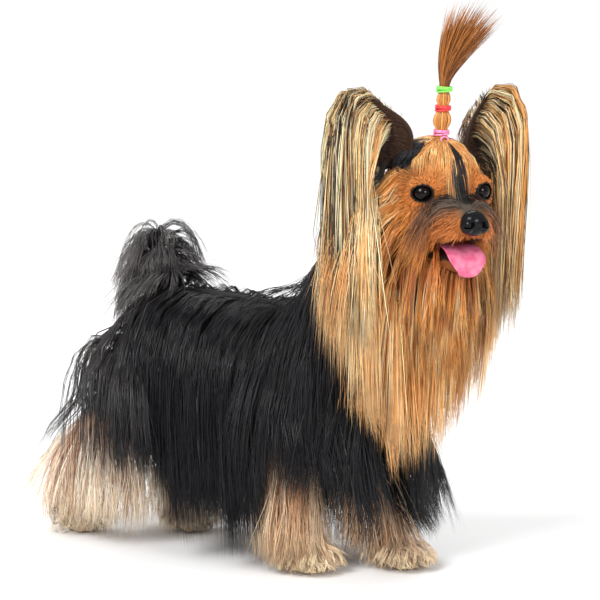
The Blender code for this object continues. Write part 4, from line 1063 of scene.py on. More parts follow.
def torso_hair(skin, tree, shader):
    """Long straight hair parted on the spine, down both flanks and over the rump."""
    chance = np.random.default_rng(21)
    mine = skin.region == REGIONS.index("torso")
    x, y, z = skin.middles.T
    upper = np.clip((z - 0.105) / 0.05, 0.12, 1.0)
    hidden = ((x > 0.108) & (z > 0.178)) | ((x > 0.125) & (np.abs(y) < 0.028))
    weights = mine * upper * np.where(hidden, 0.0, 1.0) * np.where(np.abs(y) < 0.012, 1.5, 1.0)
    weights = weights * np.where((x > 0.100) & (y > 0.012), 2.6, 1.0) * np.where(x < -0.092, 1.5, 1.0)
    places, normals, _ = skin.sample(chance, 1250, weights)
    guides = Guides()
    for place, normal in zip(places, normals):
        root, out = Vector(place), Vector(normal)
        sign = 1 if root.y > 0 else -1
        side = "left" if sign > 0 else "right"
        turn = math.atan2(abs(root.y), root.z - 0.165)
        high = max(0.0, 1 - turn / 2.2)
        rear = min(max((-0.062 - root.x) / 0.035, 0.0), 1.0)
        lie = Vector((-0.50 - 0.1 * rear, math.cos(turn) * sign * (1 - 0.4 * rear), -math.sin(turn) - 0.25 * rear))
        fore = min(max((root.x - 0.060) / 0.050, 0.0), 1.0)
        lie.x += 1.10 * fore
        lie = lie - out * lie.dot(out) * 0.9
        lie.z -= 0.02
        tip = hem_height(root.x, side) + abs(chance.normal(0, 0.012)) - 0.006 + 0.012 * (1 - high)
        tip += 0.010 * math.sin(95 * root.x + 1.3 * sign) + 0.006 * math.sin(240 * root.x)
        if rear > 0.5:
            tip = 0.066 + chance.normal(0, 0.012)
        clear = 0.0008 + 0.0110 * high * chance.uniform(0.35, 1.0)
        if rear > 0:
            clear = clear * (1 - rear) + rear * (0.0010 + 0.0150 * chance.random())
        drift = 0.11 * (1 - rear) - 0.05 * rear + (0.27 if sign > 0 else 0.16) * fore
        pull = Vector((drift + chance.normal(0, 0.03), 0.05 * sign * fore * (1.6 if sign > 0 else 1), 0))
        weight = 0.34 + rear * (0.15 + 1.6 * chance.random() ** 1.5)
        path, outs = drape(tree, root, out, lie, 0.30, tip, clear, weight, pull)
        guides.add(path, outs, (place[0], place[1] + 0.05 * sign, place[2]))
    guides.close()
    count = 10600
    roots, normals, flat = skin.sample(chance, count, weights)
    keys = roots + np.stack([0 * roots[:, 0], 0.05 * np.sign(roots[:, 1]), 0 * roots[:, 0]], 1)

    def paint(roots, guide, chance, t, length):
        base = body_marks(roots)
        lock = lock_values(guide, 3)
        base = np.where((base[:, :1] > 0.2), BLACK, base)
        # Steel locks and a few grey strands: partly the coat's own steel-blue and grey hair, partly painted sheen
        # standing in for highlights along the black coat.
        mid = blend(base, STEEL, np.clip(lock - 0.75, 0, 1) * 1.6)
        tip = blend(mid, BLUE_BLACK, 0.5 + 0 * lock)
        pale = chance.random(len(roots)) < 0.03
        mid = np.where(pale[:, None], GREY * 0.5, mid)
        mid = varied(mid, chance, 0.25)
        return gradient([(0, varied(base, chance, 0.2)), (0.4, mid), (1.0, tip)], t)

    look = dict(LOOK, gather=0.80, late=3.0, loose=0.035, stray=0.07, width=0.00054, shorter=0.09)
    return hairs("coat_body", skin, guides, roots, normals, flat, keys, chance, 7, look, paint, shader)


def fall_paint(seed, rust, stripes, pale=0.20, turn=0.35):
    """Golden hair with reddish roots, pale lengths and locks of different shades."""

    def paint(roots, guide, chance, t, length):
        lock = lock_values(guide, seed)
        own = np.clip(0.8 * lock + 0.1 + chance.normal(0, 0.16, len(lock)), 0, 1)
        shades = np.array([blend(AMBER, RUST, 0.7), AMBER, AMBER, GOLD, GOLD, HONEY, CREAM])
        spot = own * (len(shades) - 1)
        low = np.minimum(spot.astype(int), len(shades) - 2)
        part = (spot - low)[:, None]
        mid = shades[low] * (1 - part) + shades[low + 1] * part
        other = lock_values(guide, seed + 1)
        dark = other < stripes
        mid = np.where(dark[:, None], SMOKE * (0.5 + 1.2 * other[:, None] / max(stripes, 1e-6)), mid)
        root = blend(mid, RUST, rust * (1 - 0.3 * other))
        tip = blend(mid, CREAM, pale * (1 - dark))
        mid = varied(mid, chance, 0.20)
        root = varied(root, chance, 0.15)
        return gradient([(0, root), (turn * 0.4, root), (turn, mid), (1.0, np.clip(tip, 0, 0.95))], t)

    return paint


def to_axis(root, amount):
    """The sideways pull that gathers the fall towards its own axis."""
    return Vector((FALL_AXIS[0] - root.x, FALL_AXIS[1] - root.y, 0.0)) * amount


def fall_end(low, slope):
    """Where hair of the fall ends: lowest on its axis and higher to each side."""

    def end(place):
        aside = abs((place.x - FALL_AXIS[0] - 0.004) * 0.70 + (place.y - FALL_AXIS[1] - 0.003) * 0.71)
        return low + slope * (1.5 * max(0.0, aside - 0.018) + 1.2 * max(0.0, aside - 0.050))

    return end


def neck_hair(skin, tree, shader):
    """The fall, from the throat, the neck and the nape down over chest and shoulders."""
    chance = np.random.default_rng(31)
    mine = skin.region == REGIONS.index("neck")
    x, y, z = skin.middles.T
    chest = (skin.region == REGIONS.index("torso")) & (x > 0.118) & (np.abs(y) < 0.040)
    weights = (mine | chest) * np.where((z < 0.170) & (y > -0.004), 2.2, 1.0)
    places, normals, _ = skin.sample(chance, 620, weights)
    guides = Guides()
    mane = []
    for place, normal in zip(places, normals):
        root, out = Vector(place), Vector(normal)
        flat_out = Vector((out.x, out.y, 0.0))
        angle = math.atan2(flat_out.y, flat_out.x) - HEAD_TURN * 0.25
        behind = (1 - math.cos(angle)) / 2
        high = min(max((root.z - 0.200) / 0.090, 0.0), 1.0)
        lie = Vector((out.x * 0.45, out.y * 0.45, -1.0))
        length = 0.24
        tip = fall_end(0.098 + chance.normal(0, 0.010), chance.normal(1.0, 0.12))
        pull = to_axis(root, FALL_GATHER * (1 - behind))
        mane.append(behind > 0.45 or root.z - tip(root) < 0.040)
        if mane[-1]:
            sign = 1 if root.y > 0 else -1
            lie = Vector((-0.45, sign * min(1.0, 0.25 + abs(root.y) / 0.02), -0.9))
            lie = lie - out * lie.dot(out)
            length = 0.15
            tip = 0.065 + chance.normal(0, 0.010)
            pull = Vector()
        elif root.z < 0.170 and root.y > -0.004:
            mane[-1] = True
            lie = Vector((0.35, 0.35, -1.0))
            length = 0.19
            tip = 0.022 + abs(chance.normal(0, 0.018))
            pull = Vector((-0.05 + 0.12 * chance.random(), -0.02 + 0.14 * chance.random(), 0))
        clear = (0.0010 + (0.0030 + 0.0110 * high) * chance.uniform(0.2, 1.0)) * (1 - 0.5 * behind)
        path, outs = drape(tree, root, out, lie, length, tip, clear, 0.30, pull)
        guides.add(path, outs, place)
    guides.close()
    roots, normals, flat = skin.sample(chance, 4200, weights)
    golden = fall_paint(5, 0.55, 0.04)

    def paint(roots, guide, chance, t, length):
        found = golden(roots, guide, chance, t, length)
        black = varied(np.tile(BLACK * 1.3, (len(roots), 1)), chance, 0.3)
        return np.where(np.array(mane)[guide][:, None, None], black[:, None], found)

    look = dict(LOOK, gather=0.66, loose=0.05, stray=0.06, wave=(0.0006, 1.3))
    return hairs("coat_fall", skin, guides, roots, normals, flat, roots, chance, 7, look, paint, shader)


def cheek_hair(skin, tree, shader):
    """Long hair of the cheeks and the sides of the head, outside the neck's."""
    chance = np.random.default_rng(41)
    turn = HEAD.to_3x3()
    back = HEAD.inverted()
    mine = skin.region == REGIONS.index("skull")
    p = in_head(skin.middles)
    x, y, z = p.T
    eye = np.linalg.norm(np.stack([x, np.abs(y), z], 1) - np.array(EYE_PLACE), axis=1)
    weights = mine * (x < 0.017 - 0.20 * np.clip(z, 0, 1)) * (z < 0.018) * (eye > 0.018)
    weights = weights * np.where(z > -0.034, 1.0, 0.3) * np.where(x > -0.026, 1.0, 0.45)
    places, normals, _ = skin.sample(chance, 620, weights)
    guides = Guides()
    for place, normal in zip(places, normals):
        root, out = Vector(place), Vector(normal)
        own = back @ root
        n = turn.transposed() @ out
        sign = 1 if own.y > 0 else -1
        behind = min(max((0.010 - own.x) / 0.045, 0.0), 1.0)
        tip = fall_end(0.105 + chance.normal(0, 0.012), chance.normal(1.0, 0.2))
        lie = Vector((-0.80 + 0.60 * behind, 0.30 * sign * (1 - behind), -0.60 - 0.60 * behind))
        lie = lie - n * lie.dot(n) * 0.8
        near = (own - Vector((EYE_PLACE.x, EYE_PLACE.y * sign, EYE_PLACE.z))).length
        length = min(0.26, max(0.030, (near - 0.014) * 14.0))
        clear = 0.0012 + 0.0085 * chance.uniform(0.1, 1.0) * (1 - 0.7 * behind)
        pull = to_axis(root, 2.6)
        weight = 0.30
        if own.x < -0.012:
            lie = Vector((0.0, 0.10 * sign, -1.0))
            clear = 0.0015
            pull = Vector()
            length = 0.065
            weight = 0.75
        path, outs = drape(tree, root, out, turn @ lie, length, tip, clear, weight, pull)
        guides.add(path, outs, place)
    guides.close()
    roots, normals, flat = skin.sample(chance, 4300, weights)
    look = dict(LOOK, gather=0.66, loose=0.045, stray=0.05, wave=(0.0005, 1.2), clears_face=True)
    golden = fall_paint(7, 0.42, 0.02, 0.32, 0.36)

    def paint(roots, guide, chance, t, length):
        p = in_head(roots)
        # Strands rooted low on the front of the cheeks are darkened to rust over their upper part, below the jaw:
        # partly reddish hair, partly painted shade under the chin.
        low = np.clip((p[:, 0] - 0.002) / 0.012, 0, 1) * np.clip((-0.012 - p[:, 2]) / 0.010, 0, 1)
        found = golden(roots, guide, chance, t, length)
        fade = low[:, None] * np.clip(1.0 - 1.4 * t, 0, 1)[None, :] * 0.7
        return found * (1 - fade[..., None]) + blend(RUST, AMBER, 0.35) * fade[..., None]

    return hairs("coat_cheeks", skin, guides, roots, normals, flat, roots, chance, 7, look, paint, shader)


def face_hair(skin, tree, shader):
    """Short hair round the eyes, on the muzzle and the lips."""
    chance = np.random.default_rng(43)
    turn = HEAD.to_3x3()
    back = HEAD.inverted()
    mine = skin.region == REGIONS.index("skull")
    p = in_head(skin.middles)
    x, y, z = p.T
    eye = np.linalg.norm(np.stack([x, np.abs(y), z], 1) - np.array(EYE_PLACE), axis=1)
    nose = np.linalg.norm(p - np.array(NOSE_PLACE), axis=1)
    front = (x > 0.014) | (eye < 0.021)
    gap = lid_gap(skin.middles)
    weights = mine * front * (nose > 0.0095) * (gap > 1.12) * (z < 0.012)
    weights = weights * np.where(x > 0.030, 1.0, 0.7)
    weights = weights * np.where((z < -0.036) & (np.abs(y) < 0.010), 0.0, 1.0)
    places, normals, _ = skin.sample(chance, 1500, weights)
    guides = Guides()
    for place, normal in zip(places, normals):
        root, out = Vector(place), Vector(normal)
        own = back @ root
        n = turn.transposed() @ out
        sign = 1 if own.y > 0 else -1
        gap = own - Vector((EYE_PLACE.x, EYE_PLACE.y * sign, EYE_PLACE.z))
        near = gap.length
        clear = 0.0004 + 0.0016 * chance.random()
        weight = 0.12
        if near < 0.0205 and own.x < 0.046:
            away = gap.normalized()
            lie = away * 1.0 + Vector((-0.55, 0.25 * sign * (abs(own.y) > 0.014), -0.25))
            length = 0.0042 + max(0.0, near - 0.0118) * (1.5 if abs(own.y) > 0.024 else 0.8)
        elif own.z > -0.0165 and abs(own.y) < 0.0135 and own.x < 0.044:
            lie = Vector((-0.60, 0.25 * sign, 0.70))
            length = 0.006 + 0.004 * chance.random()
        elif own.z > -0.0190 and abs(own.y) < 0.0135:
            lie = Vector((-0.75, 0.60 * sign, 0.05))
            length = 0.048 + 0.028 * chance.random()
            weight = 0.46
            clear = 0.0010 + 0.0045 * chance.random()
        elif own.x < 0.030 and own.z > -0.028:
            lie = Vector((-0.85, 0.30 * sign, -0.50))
            length = 0.026 + 0.022 * chance.random()
            weight = 0.18
            clear = 0.0006 + 0.0018 * chance.random()
        elif own.x < 0.044:
            lie = Vector((-0.6, 0.30 * sign, -0.75))
            length = 0.034 + 0.024 * chance.random()
            weight = 0.25
            clear = 0.0008 + 0.0026 * chance.random()
        else:
            lie = Vector((-0.70, 0.40 * sign, -0.50))
            length = 0.010 + 0.014 * (0.070 - own.x) / 0.03 + 0.005 * chance.random()
            weight = 0.25
        if own.z < -0.029 and abs(own.y) < 0.018 and own.x > 0.040:
            length = min(length, 0.008)
        lie = lie - n * lie.dot(n) * 0.8
        path, outs = drape(tree, root, out, turn @ lie, length, 0.1, clear, weight, step=0.0022)
        guides.add(path, outs, place)
    guides.close()
    roots, normals, flat = skin.sample(chance, 6000, weights)

    def paint(roots, guide, chance, t, length):
        base = head_marks(roots)
        p = in_head(roots)
        lock = lock_values(guide, 9)
        mid = varied(base, chance, 0.22)
        paler = ((p[:, 0] < 0.046) & (p[:, 2] < -0.010)) * 0.50
        smoky = mid[:, 0] < 0.20
        tip = blend(mid, np.where(smoky[:, None], RUST * 0.8, GOLD), paler + 0.35 * (lock - 0.3) + 0.4 * smoky)
        return gradient([(0, base * 0.75), (0.4, mid), (1.0, tip)], t)

    look = dict(LOOK, gather=0.40, loose=0.09, lift=0.0006, wave=(0.00015, 1.0), width=0.00038, shorter=0.35,
                clears_face=True)
    return hairs("coat_face", skin, guides, roots, normals, flat, roots, chance, 5, look, paint, shader)


def crown_hair(skin, tree, shader):
    """Hair of the forehead and the top of the skull, combed up to the first band."""
    chance = np.random.default_rng(47)
    turn = HEAD.to_3x3()
    mine = skin.region == REGIONS.index("skull")
    p = in_head(skin.middles)
    x, y, z = p.T
    between = (np.abs(y) < 0.011) & (x > 0.030) & (z > -0.010)
    above = z > 0.0085 - 0.25 * np.clip(np.abs(y) - 0.02, 0, 1)
    weights = mine * (above | between) * (z < 0.0335)
    weights = weights * (lid_gap(skin.middles) > 1.8)
    goal = Vector((0.005, KNOT_ACROSS, 0.0375))
    places, normals, _ = skin.sample(chance, 420, weights)
    guides = Guides()
    for place, normal in zip(places, normals):
        root, out = Vector(place), Vector(normal)
        end = HEAD @ (goal + Vector((chance.normal(0, 0.0014), chance.normal(0, 0.0014), 0)))
        path, outs = [root], [out]
        clear = 0.0012 + 0.0022 * chance.random()
        for k in range(1, 13):
            share = k / 12
            point = root.lerp(end, share)
            lift, near, face = off_surface(tree, point)
            reach = clear * min(1.0, share * 4)
            if lift < reach:
                point = near + face * reach
            path.append(point)
            outs.append(face)
        guides.add(path, outs, place)
    guides.close()
    roots, normals, flat = skin.sample(chance, 2700, weights)

    def paint(roots, guide, chance, t, length):
        base = head_marks(roots)
        lock = lock_values(guide, 11)
        p = in_head(roots)
        by_ear = (np.abs(p[:, 1]) > 0.0205) & (p[:, 0] < 0.014)
        base = np.where(by_ear[:, None], BLACK * 1.6, base)
        dark = base[:, :1] < 0.15
        mid = np.where(dark, base, blend(blend(RUST, AMBER, 0.5), HONEY, lock * 1.1))
        mid = varied(mid, chance, 0.25)
        tip = np.where(dark, base * 1.5, blend(AMBER, RUST, 0.3 + 0.5 * lock))
        return gradient([(0, base * 0.9), (0.30, mid), (0.75, blend(mid, tip, 0.8)), (1.0, tip)], t)

    look = dict(LOOK, gather=0.88, loose=0.010, lift=0.0009, wave=(0.0001, 1.0), shorter=0.06,
                stray=0.03, width=0.00045, clears_face=True)
    return hairs("coat_crown", skin, guides, roots, normals, flat, roots, chance, 6, look, paint, shader)


def jaw_hair(skin, tree, shader):
    """The beard that falls from the chin and the sides of the jaw."""
    chance = np.random.default_rng(51)
    turn = HEAD.to_3x3()
    back = HEAD.inverted()
    mine = skin.region == REGIONS.index("jaw")
    p = in_head(skin.middles)
    x, y, z = p.T
    n = skin.normals @ np.array(turn)
    weights = mine * (n[:, 2] < 0.25) * np.where(x > 0.0, 1.0, 0.4)
    places, normals, _ = skin.sample(chance, 300, weights)
    guides = Guides()
    for place, normal in zip(places, normals):
        root, out = Vector(place), Vector(normal)
        own = back @ root
        length = 0.030 + 1.6 * max(0.0, 0.050 - own.x) + chance.normal(0, 0.008)
        lie = Vector((-0.10, 0.30 * own.y / 0.02, -1.0))
        clear = 0.0006 + 0.003 * chance.random()
        path, outs = drape(tree, root, out, turn @ lie, max(length, 0.02), 0.10, clear, 0.4)
        guides.add(path, outs, place)
    guides.close()
    roots, normals, flat = skin.sample(chance, 1800, weights)
    look = dict(LOOK, gather=0.6, loose=0.06, lift=0.0010, wave=(0.0004, 1.0), width=0.00050, clears_face=True)
    # The beard keeps its rust root colour over nine tenths of its length, has smoky locks and no pale tips: partly its
    # own reddish colour, partly painted shade under the chin.
    return hairs("coat_beard", skin, guides, roots, normals, flat, roots, chance, 6, look,
                 fall_paint(13, 1.0, 0.12, 0.0, 0.90), shader)


def ear_hair(sign, skin, tree, shader):
    """Short dark hair in the cup, and a long fringe from the tip, the rim and the outer part."""
    side = "left" if sign > 0 else "right"
    chance = np.random.default_rng(61 + sign)
    turn = HEAD.to_3x3()
    _, up, across, face = ear_frame(sign)
    guides, roots, normals = Guides(), [], []

    def spot(t, s, inside):
        behind = across * math.sin(s * EAR_BEND) - face * math.cos(s * EAR_BEND)
        outward = behind * (-1 if inside else 1)
        if abs(s) > 0.80 or t > 0.88:
            outward = outward * 0.5 + across * (1.0 * s) + up * (0.8 * (t > 0.8))
        place = ear_point(sign, t, s, EAR_THICK * (-0.3 if inside else 0.3))
        return HEAD @ place, (turn @ outward).normalized()

    def draw():
        inside = chance.random() < 0.62
        if inside:
            s = 0.99 - 1.60 * chance.random() ** 1.05
            lowest = 0.03 if s > 0.30 else 0.03 + 0.60 * (0.30 - s)
            return chance.uniform(min(lowest, 0.93), 0.99), s, True
        return 0.99 - 0.60 * chance.random() ** 1.6, chance.uniform(-0.90, 0.99), False

    for _ in range(420):
        t, s, inside = draw()
        root, out = spot(t, s, inside)
        over = max(0.0, (t - 0.70) / 0.30)
        ahead = 0.42 if inside else 0.55 * over - 0.25
        own = up * (0.50 + 1.0 * over * (1.15 - abs(s - 0.1))) + across * (0.42 + 0.40 * s) + face * (ahead + 0.25 * chance.random())
        if t < 0.24:
            own = across * 0.25 + face * 0.40 - up * 0.55
        way = (turn @ own).normalized() + out * 0.20
        tip = 0.184 + 0.050 * chance.random() ** 1.5 + 0.016 * s
        clear = 0.005 * chance.random()
        pull = (HEAD_PLACE - root) * (0.35 if sign < 0 else 1.5)
        pull.z = 0
        path, outs = drape(tree, root, out, way, 0.26, tip, clear, 1.0 - 0.25 * over, pull, 0.0032)
        guides.add(path, outs, root + out * 0.01)
    guides.close()
    for _ in range(2300):
        t, s, inside = draw()
        root, out = spot(t, s, inside)
        roots.append(root)
        normals.append(out)
    roots, normals = np.array(roots), np.array(normals)
    flat = skin.nearest_flat(roots)

    def paint(roots, guide, chance, t, length):
        lock = lock_values(guide, 17)
        p = in_head(roots)
        outer = np.clip((np.abs(p[:, 1]) - (0.0445 if sign < 0 else 0.047)) / 0.006, 0, 1)
        base = np.clip((0.036 - p[:, 2]) / 0.006, 0, 1) * (np.abs(p[:, 1]) < 0.040)
        # Painted highlight: the right ear, nearer the camera, is shifted 0.16 further towards cream than the left; the
        # rest of the shade list is the fringe's own colour.
        own = 0.16 + 0.80 * lock + chance.normal(0, 0.13, len(lock)) + (0.20 if sign < 0 else 0.04)
        edge = outer * (lock_values(guide, 18) < 0.80) * (chance.random(len(lock)) < 0.62)
        own = np.clip(own, 0, 1) * (1 - base) * (1 - 0.85 * edge)
        shades = np.array([BLACK * 1.6, SMOKE * 0.6, SMOKE, AMBER * 0.8, GOLD, HONEY, CREAM, CREAM, CREAM])
        place = own * (len(shades) - 1)
        low = np.minimum(place.astype(int), len(shades) - 2)
        part = (place - low)[:, None]
        mid = varied(shades[low] * (1 - part) + shades[low + 1] * part, chance, 0.15)
        root = blend(mid, SMOKE, 0.30 + 0 * lock)
        return gradient([(0, root), (0.3, mid), (1.0, mid)], t)

    look = dict(LOOK, gather=0.40, loose=0.045, lift=0.0014, wave=(0.0008, 1.4), width=0.00052, stray=0.06,
                spread=1.7)
    keys = roots + normals * 0.01
    made = hairs("coat_ear_" + side, skin, guides, roots, normals, flat, keys, chance, 8, look, paint, shader)

    guides, roots, normals = Guides(), [], []
    for k in range(1500):
        t, s = chance.uniform(0.02, 0.95), chance.uniform(-0.93, 0.93)
        inside = -1 if k % 3 else 1
        behind = across * math.sin(s * EAR_BEND) - face * math.cos(s * EAR_BEND)
        root = HEAD @ ear_point(sign, t, s, EAR_THICK * 0.45 * inside)
        out = (turn @ (behind * inside)).normalized()
        roots.append(root)
        normals.append(out)
        if k % 5 == 0:
            way = (turn @ (up * 0.9 + across * (0.5 if inside < 0 else 0.2) - across * min(s, 0.0) * 0.8)).normalized()
            if t < 0.30 and s > 0.5:
                way = (turn @ (across - up * 0.3)).normalized()
            way = (way - out * (way.dot(out) - 0.10)).normalized()
            length = (0.008 + 0.010 * chance.random() * (1 - 0.5 * t)) * (1 - 0.55 * abs(s))
            if t < 0.30 and s > 0.5:
                length = 0.014
            path = [Vector(root) + way * (length * i / 5) + out * (0.0004 * i) for i in range(6)]
            guides.add(path, [out] * 6, root + out * 0.004)
    guides.close()
    roots, normals = np.array(roots), np.array(normals)
    flat = skin.nearest_flat(roots)

    def inner(roots, guide, chance, t, length):
        base = np.tile(UMBER * 0.8, (len(roots), 1))
        mid = varied(base, chance, 0.35)
        return gradient([(0, base), (0.5, mid), (1.0, blend(mid, RUST, 0.15 + 0 * mid[:, 0]))], t)

    look = dict(LOOK, gather=0.2, loose=0.06, lift=0.0003, wave=(0.0001, 1.0), width=0.00036, shorter=0.4)
    keys = roots + normals * 0.004
    return made + hairs("coat_cup_" + side, skin, guides, roots, normals, flat, keys, chance, 5, look, inner, shader)


def leg_hair(side, end, skin, tree, shader):
    """Hair round a leg that falls and widens over the foot."""
    name = end + "_" + side
    chance = np.random.default_rng(91 + len(name))
    mine = skin.region == REGIONS.index(name)
    sign = SIDE_SIGNS[side]
    z = skin.middles[:, 2]
    weights = mine * (z > 0.003) * (z < 0.112) * np.interp(z, [0.0, 0.018, 0.024, 0.045, 0.070], [1.5, 1.5, 0.6, 0.60, 1.3])
    places, normals, _ = skin.sample(chance, 420, weights)
    guides = Guides()
    for place, normal in zip(places, normals):
        root, out = Vector(place), Vector(normal)
        low = min(max((0.075 - root.z) / 0.05, 0.0), 1.0)
        toes = root.z < 0.020
        flare = (0.14 + 0.34 * low) * (0.60 if end == "hind" else 1.0) + 0.10 * chance.random()
        if out.x < 0:
            flare *= 0.35
        lie = Vector((out.x * flare, out.y * flare, -1.0))
        length = 0.012 + root.z * chance.uniform(0.80, 1.06) * (0.90 if end == "hind" else 1.0)
        weight = 0.07
        if name == "front_left" and root.z > 0.062 and root.y > 0.026:
            lie = Vector((0.55 + 0.3 * out.x, 0.5 + 0.3 * out.y, -1.0))
            length = root.z * 0.9
        if toes:
            lie = Vector((0.50 + 0.6 * out.x, 0.8 * out.y, 0.50))
            length = 0.022 + 0.012 * chance.random()
            weight = 0.95
        high = min(max((root.z - 0.020) / 0.070, 0.0), 1.0)
        clear = (0.0006 + (0.0030 + 0.0040 * high) * chance.random()) * (0.5 if end == "hind" and out.x < 0 else 1.0)
        tip = 0.003 + 0.004 * chance.random()
        pull = Vector()
        if end == "hind" and out.x < 0:
            length *= 1 + 0.25 * out.x
            pull.x = -0.5 * out.x
        path, outs = drape(tree, root, out, lie, max(length, 0.010), tip, clear, weight, pull, 0.0035)
        guides.add(path, outs, place)
    guides.close()
    count = 2000 if end == "front" else 1500
    roots, normals, flat = skin.sample(chance, count, weights)

    def paint(roots, guide, chance, t, length):
        # Painted shade: the left legs, on the far side from the camera, get their colour times 0.8 and fewer pale
        # locks.
        base = leg_marks(roots) * (1.0 if side == "right" else 0.80)
        lock = lock_values(guide, 19) * (1.0 if side == "right" else 0.6)
        mid = varied(blend(base, BLUSH if end == "hind" else PALE, 0.9 * lock + 0.35 * (end == "hind")), chance, 0.22)
        dark = lock_values(guide, 23) < (0.18 if end == "front" else 0.08)
        mid = np.where(dark[:, None], blend(TAN, RUST, 0.6) * 0.75, mid)
        tip = blend(mid, CREAM, 0.25 + 0.4 * lock + 0.3 * (roots[:, 2] < 0.026))
        shoulder = (name == "front_left") * (roots[:, 2] > 0.062) * (roots[:, 1] > 0.026)
        mid, tip, base = [np.where(shoulder[:, None] > 0, BLACK * 1.5, c) for c in (mid, tip, base)]
        return gradient([(0, base * 0.75), (0.35, mid), (1.0, tip)], t)

    look = dict(LOOK, gather=0.50, late=1.6, loose=0.04, lift=0.0012, wave=(0.0030, 0.9), width=0.00046, stray=0.03,
                shorter=0.15)
    return hairs("coat_" + name, skin, guides, roots, normals, flat, roots, chance, 6, look, paint, shader)


def tail_hair(skin, tree, shader):
    """The plume: wavy hair that stands off the raised tail and droops round it."""
    chance = np.random.default_rng(81)
    mine = skin.region == REGIONS.index("tail")
    places, normals, _ = skin.sample(chance, 260, mine * 1.0)
    guides = Guides()
    for place, normal in zip(places, normals):
        root, out = Vector(place), Vector(normal)
        high = min(max((root.z - 0.200) / 0.06, 0.0), 1.0)
        lie = Vector((out.x * (1.2 if out.x < 0 else 0.7), out.y * 1.1, 0.40 + 0.50 * chance.random() + 0.25 * high))
        length = chance.uniform(0.034, 0.072) * (1 - 0.20 * high)
        path, outs = drape(tree, root, out, lie, length, 0.0, 0.003, chance.uniform(0.6, 1.1), step=0.003)
        guides.add(path, outs, place)
    guides.close()
    roots, normals, flat = skin.sample(chance, 2100, mine * 1.0)

    def paint(roots, guide, chance, t, length):
        lock = lock_values(guide, 27)
        rear = np.clip((-0.086 - roots[:, 0]) / 0.012, 0, 1)
        mid = blend(np.tile(BLACK * 2.0, (len(roots), 1)), GREY, np.clip(lock * 0.4 - 0.1 + rear * 0.55, 0, 1))
        mid = varied(mid, chance, 0.3)
        return gradient([(0, mid * 0.6), (0.4, mid), (1.0, blend(mid, GREY, 0.35 + 0 * lock))], t)

    look = dict(LOOK, gather=0.35, loose=0.10, lift=0.0030, wave=(0.0016, 1.2), width=0.00052, stray=0.08)
    return hairs("coat_tail", skin, guides, roots, normals, flat, roots, chance, 8, look, paint, shader)


def knot_place(z, radial, radius):
    """A point beside the topknot's own leaning line."""
    return HEAD @ (Vector((0.005, KNOT_ACROSS + 0.07 * (z - 0.041), z)) + radial * radius)


def knot_hair(skin, shader):
    """Hair tied in two beads, with a loose brush above that leans to the dog's left."""
    chance = np.random.default_rng(71)
    turn = HEAD.to_3x3()
    heights = np.array([z for z, r in KNOT_BEADS])
    radii = np.array([r for z, r in KNOT_BEADS])
    top = 0.0775
    beads, brush = Guides(), Guides()
    roots = {"beads": [], "brush": []}
    for k in range(150):
        angle = 2.399 * k
        depth = math.sqrt((k + 0.5) / 150)
        radial = Vector((math.cos(angle), math.sin(angle), 0))
        path = []
        for z in np.linspace(0.033, top + 0.002, 40):
            radius = float(np.interp(z, heights, radii)) * (0.70 + 0.32 * depth) - 0.0002
            path.append(knot_place(z, radial, radius))
        beads.add(path, [turn @ radial] * 40, path[0])
        waist = radii[-1] * depth
        length = chance.uniform(0.044, 0.066)
        path = [knot_place(0.072, radial, waist), knot_place(top, radial, waist)]
        for i in range(1, 13):
            t = i / 12
            lean = Vector((0.006, 0.024, 0)) * t**1.5
            bend = radial * (0.004 * math.sin(min(t * 3, 1.57)) + depth * 0.015 * t**1.7)
            path.append(knot_place(top, radial, waist) + turn @ (Vector((0, 0, length * t)) + lean + bend))
        brush.add(path, [turn @ radial] * len(path), path[0])
        roots["beads"] += [beads.paths[-1][0] + np.array(turn @ Vector(chance.normal(0, 0.0003, 3)))] * 2
        roots["brush"] += [brush.paths[-1][0] + np.array(turn @ Vector(chance.normal(0, 0.0003, 3))) for _ in range(5)]

    def paint(roots, guide, chance, t, length):
        lock = lock_values(guide, 29)
        mid = varied(blend(blend(RUST * 0.6, AMBER, 0.30), GOLD, lock * 0.8), chance, 0.25)
        return gradient([(0, mid), (1.0, mid)], t)

    def paint_brush(roots, guide, chance, t, length):
        lock = lock_values(guide, 31)
        mid = varied(blend(RUST * 0.35, AMBER * 0.8, lock**1.5 * 0.6), chance, 0.25)
        return gradient([(0, mid * 0.8), (0.4, mid), (1.0, blend(mid, AMBER, 0.35 * lock))], t)

    made = []
    calm = dict(LOOK, gather=0.0, loose=0.0, lift=0.0, wave=(0.0, 1.0), width=0.00075, shorter=0.0, stray=0.0)
    free = dict(calm, loose=0.045, wave=(0.0002, 1.2), width=0.00048, shorter=0.30)
    for name, guides, look, colour, rings in (
        ("coat_topknot", beads, calm, paint, 18),
        ("coat_brush", brush, free, paint_brush, 10),
    ):
        guides.close()
        places = np.array(roots[name.replace("coat_topknot", "beads").replace("coat_brush", "brush")])
        flat = skin.nearest_flat(places)
        normals = np.zeros_like(places)
        made += hairs(name, skin, guides, places, normals, flat, places, chance, rings, look, colour, shader)
    return made


# Eyes, nose, tongue, bands and claws

def smooth(obj):
    obj.data.polygons.foreach_set("use_smooth", [True] * len(obj.data.polygons))
    return obj


def placed(obj, shader=None):
    """Moves a mesh from the dog's frame to the model's origin."""
    obj.data.transform(Matrix.Translation(-CENTRE))
    if shader:
        obj.data.materials.clear()
        obj.data.materials.append(shader)
    return smooth(obj)


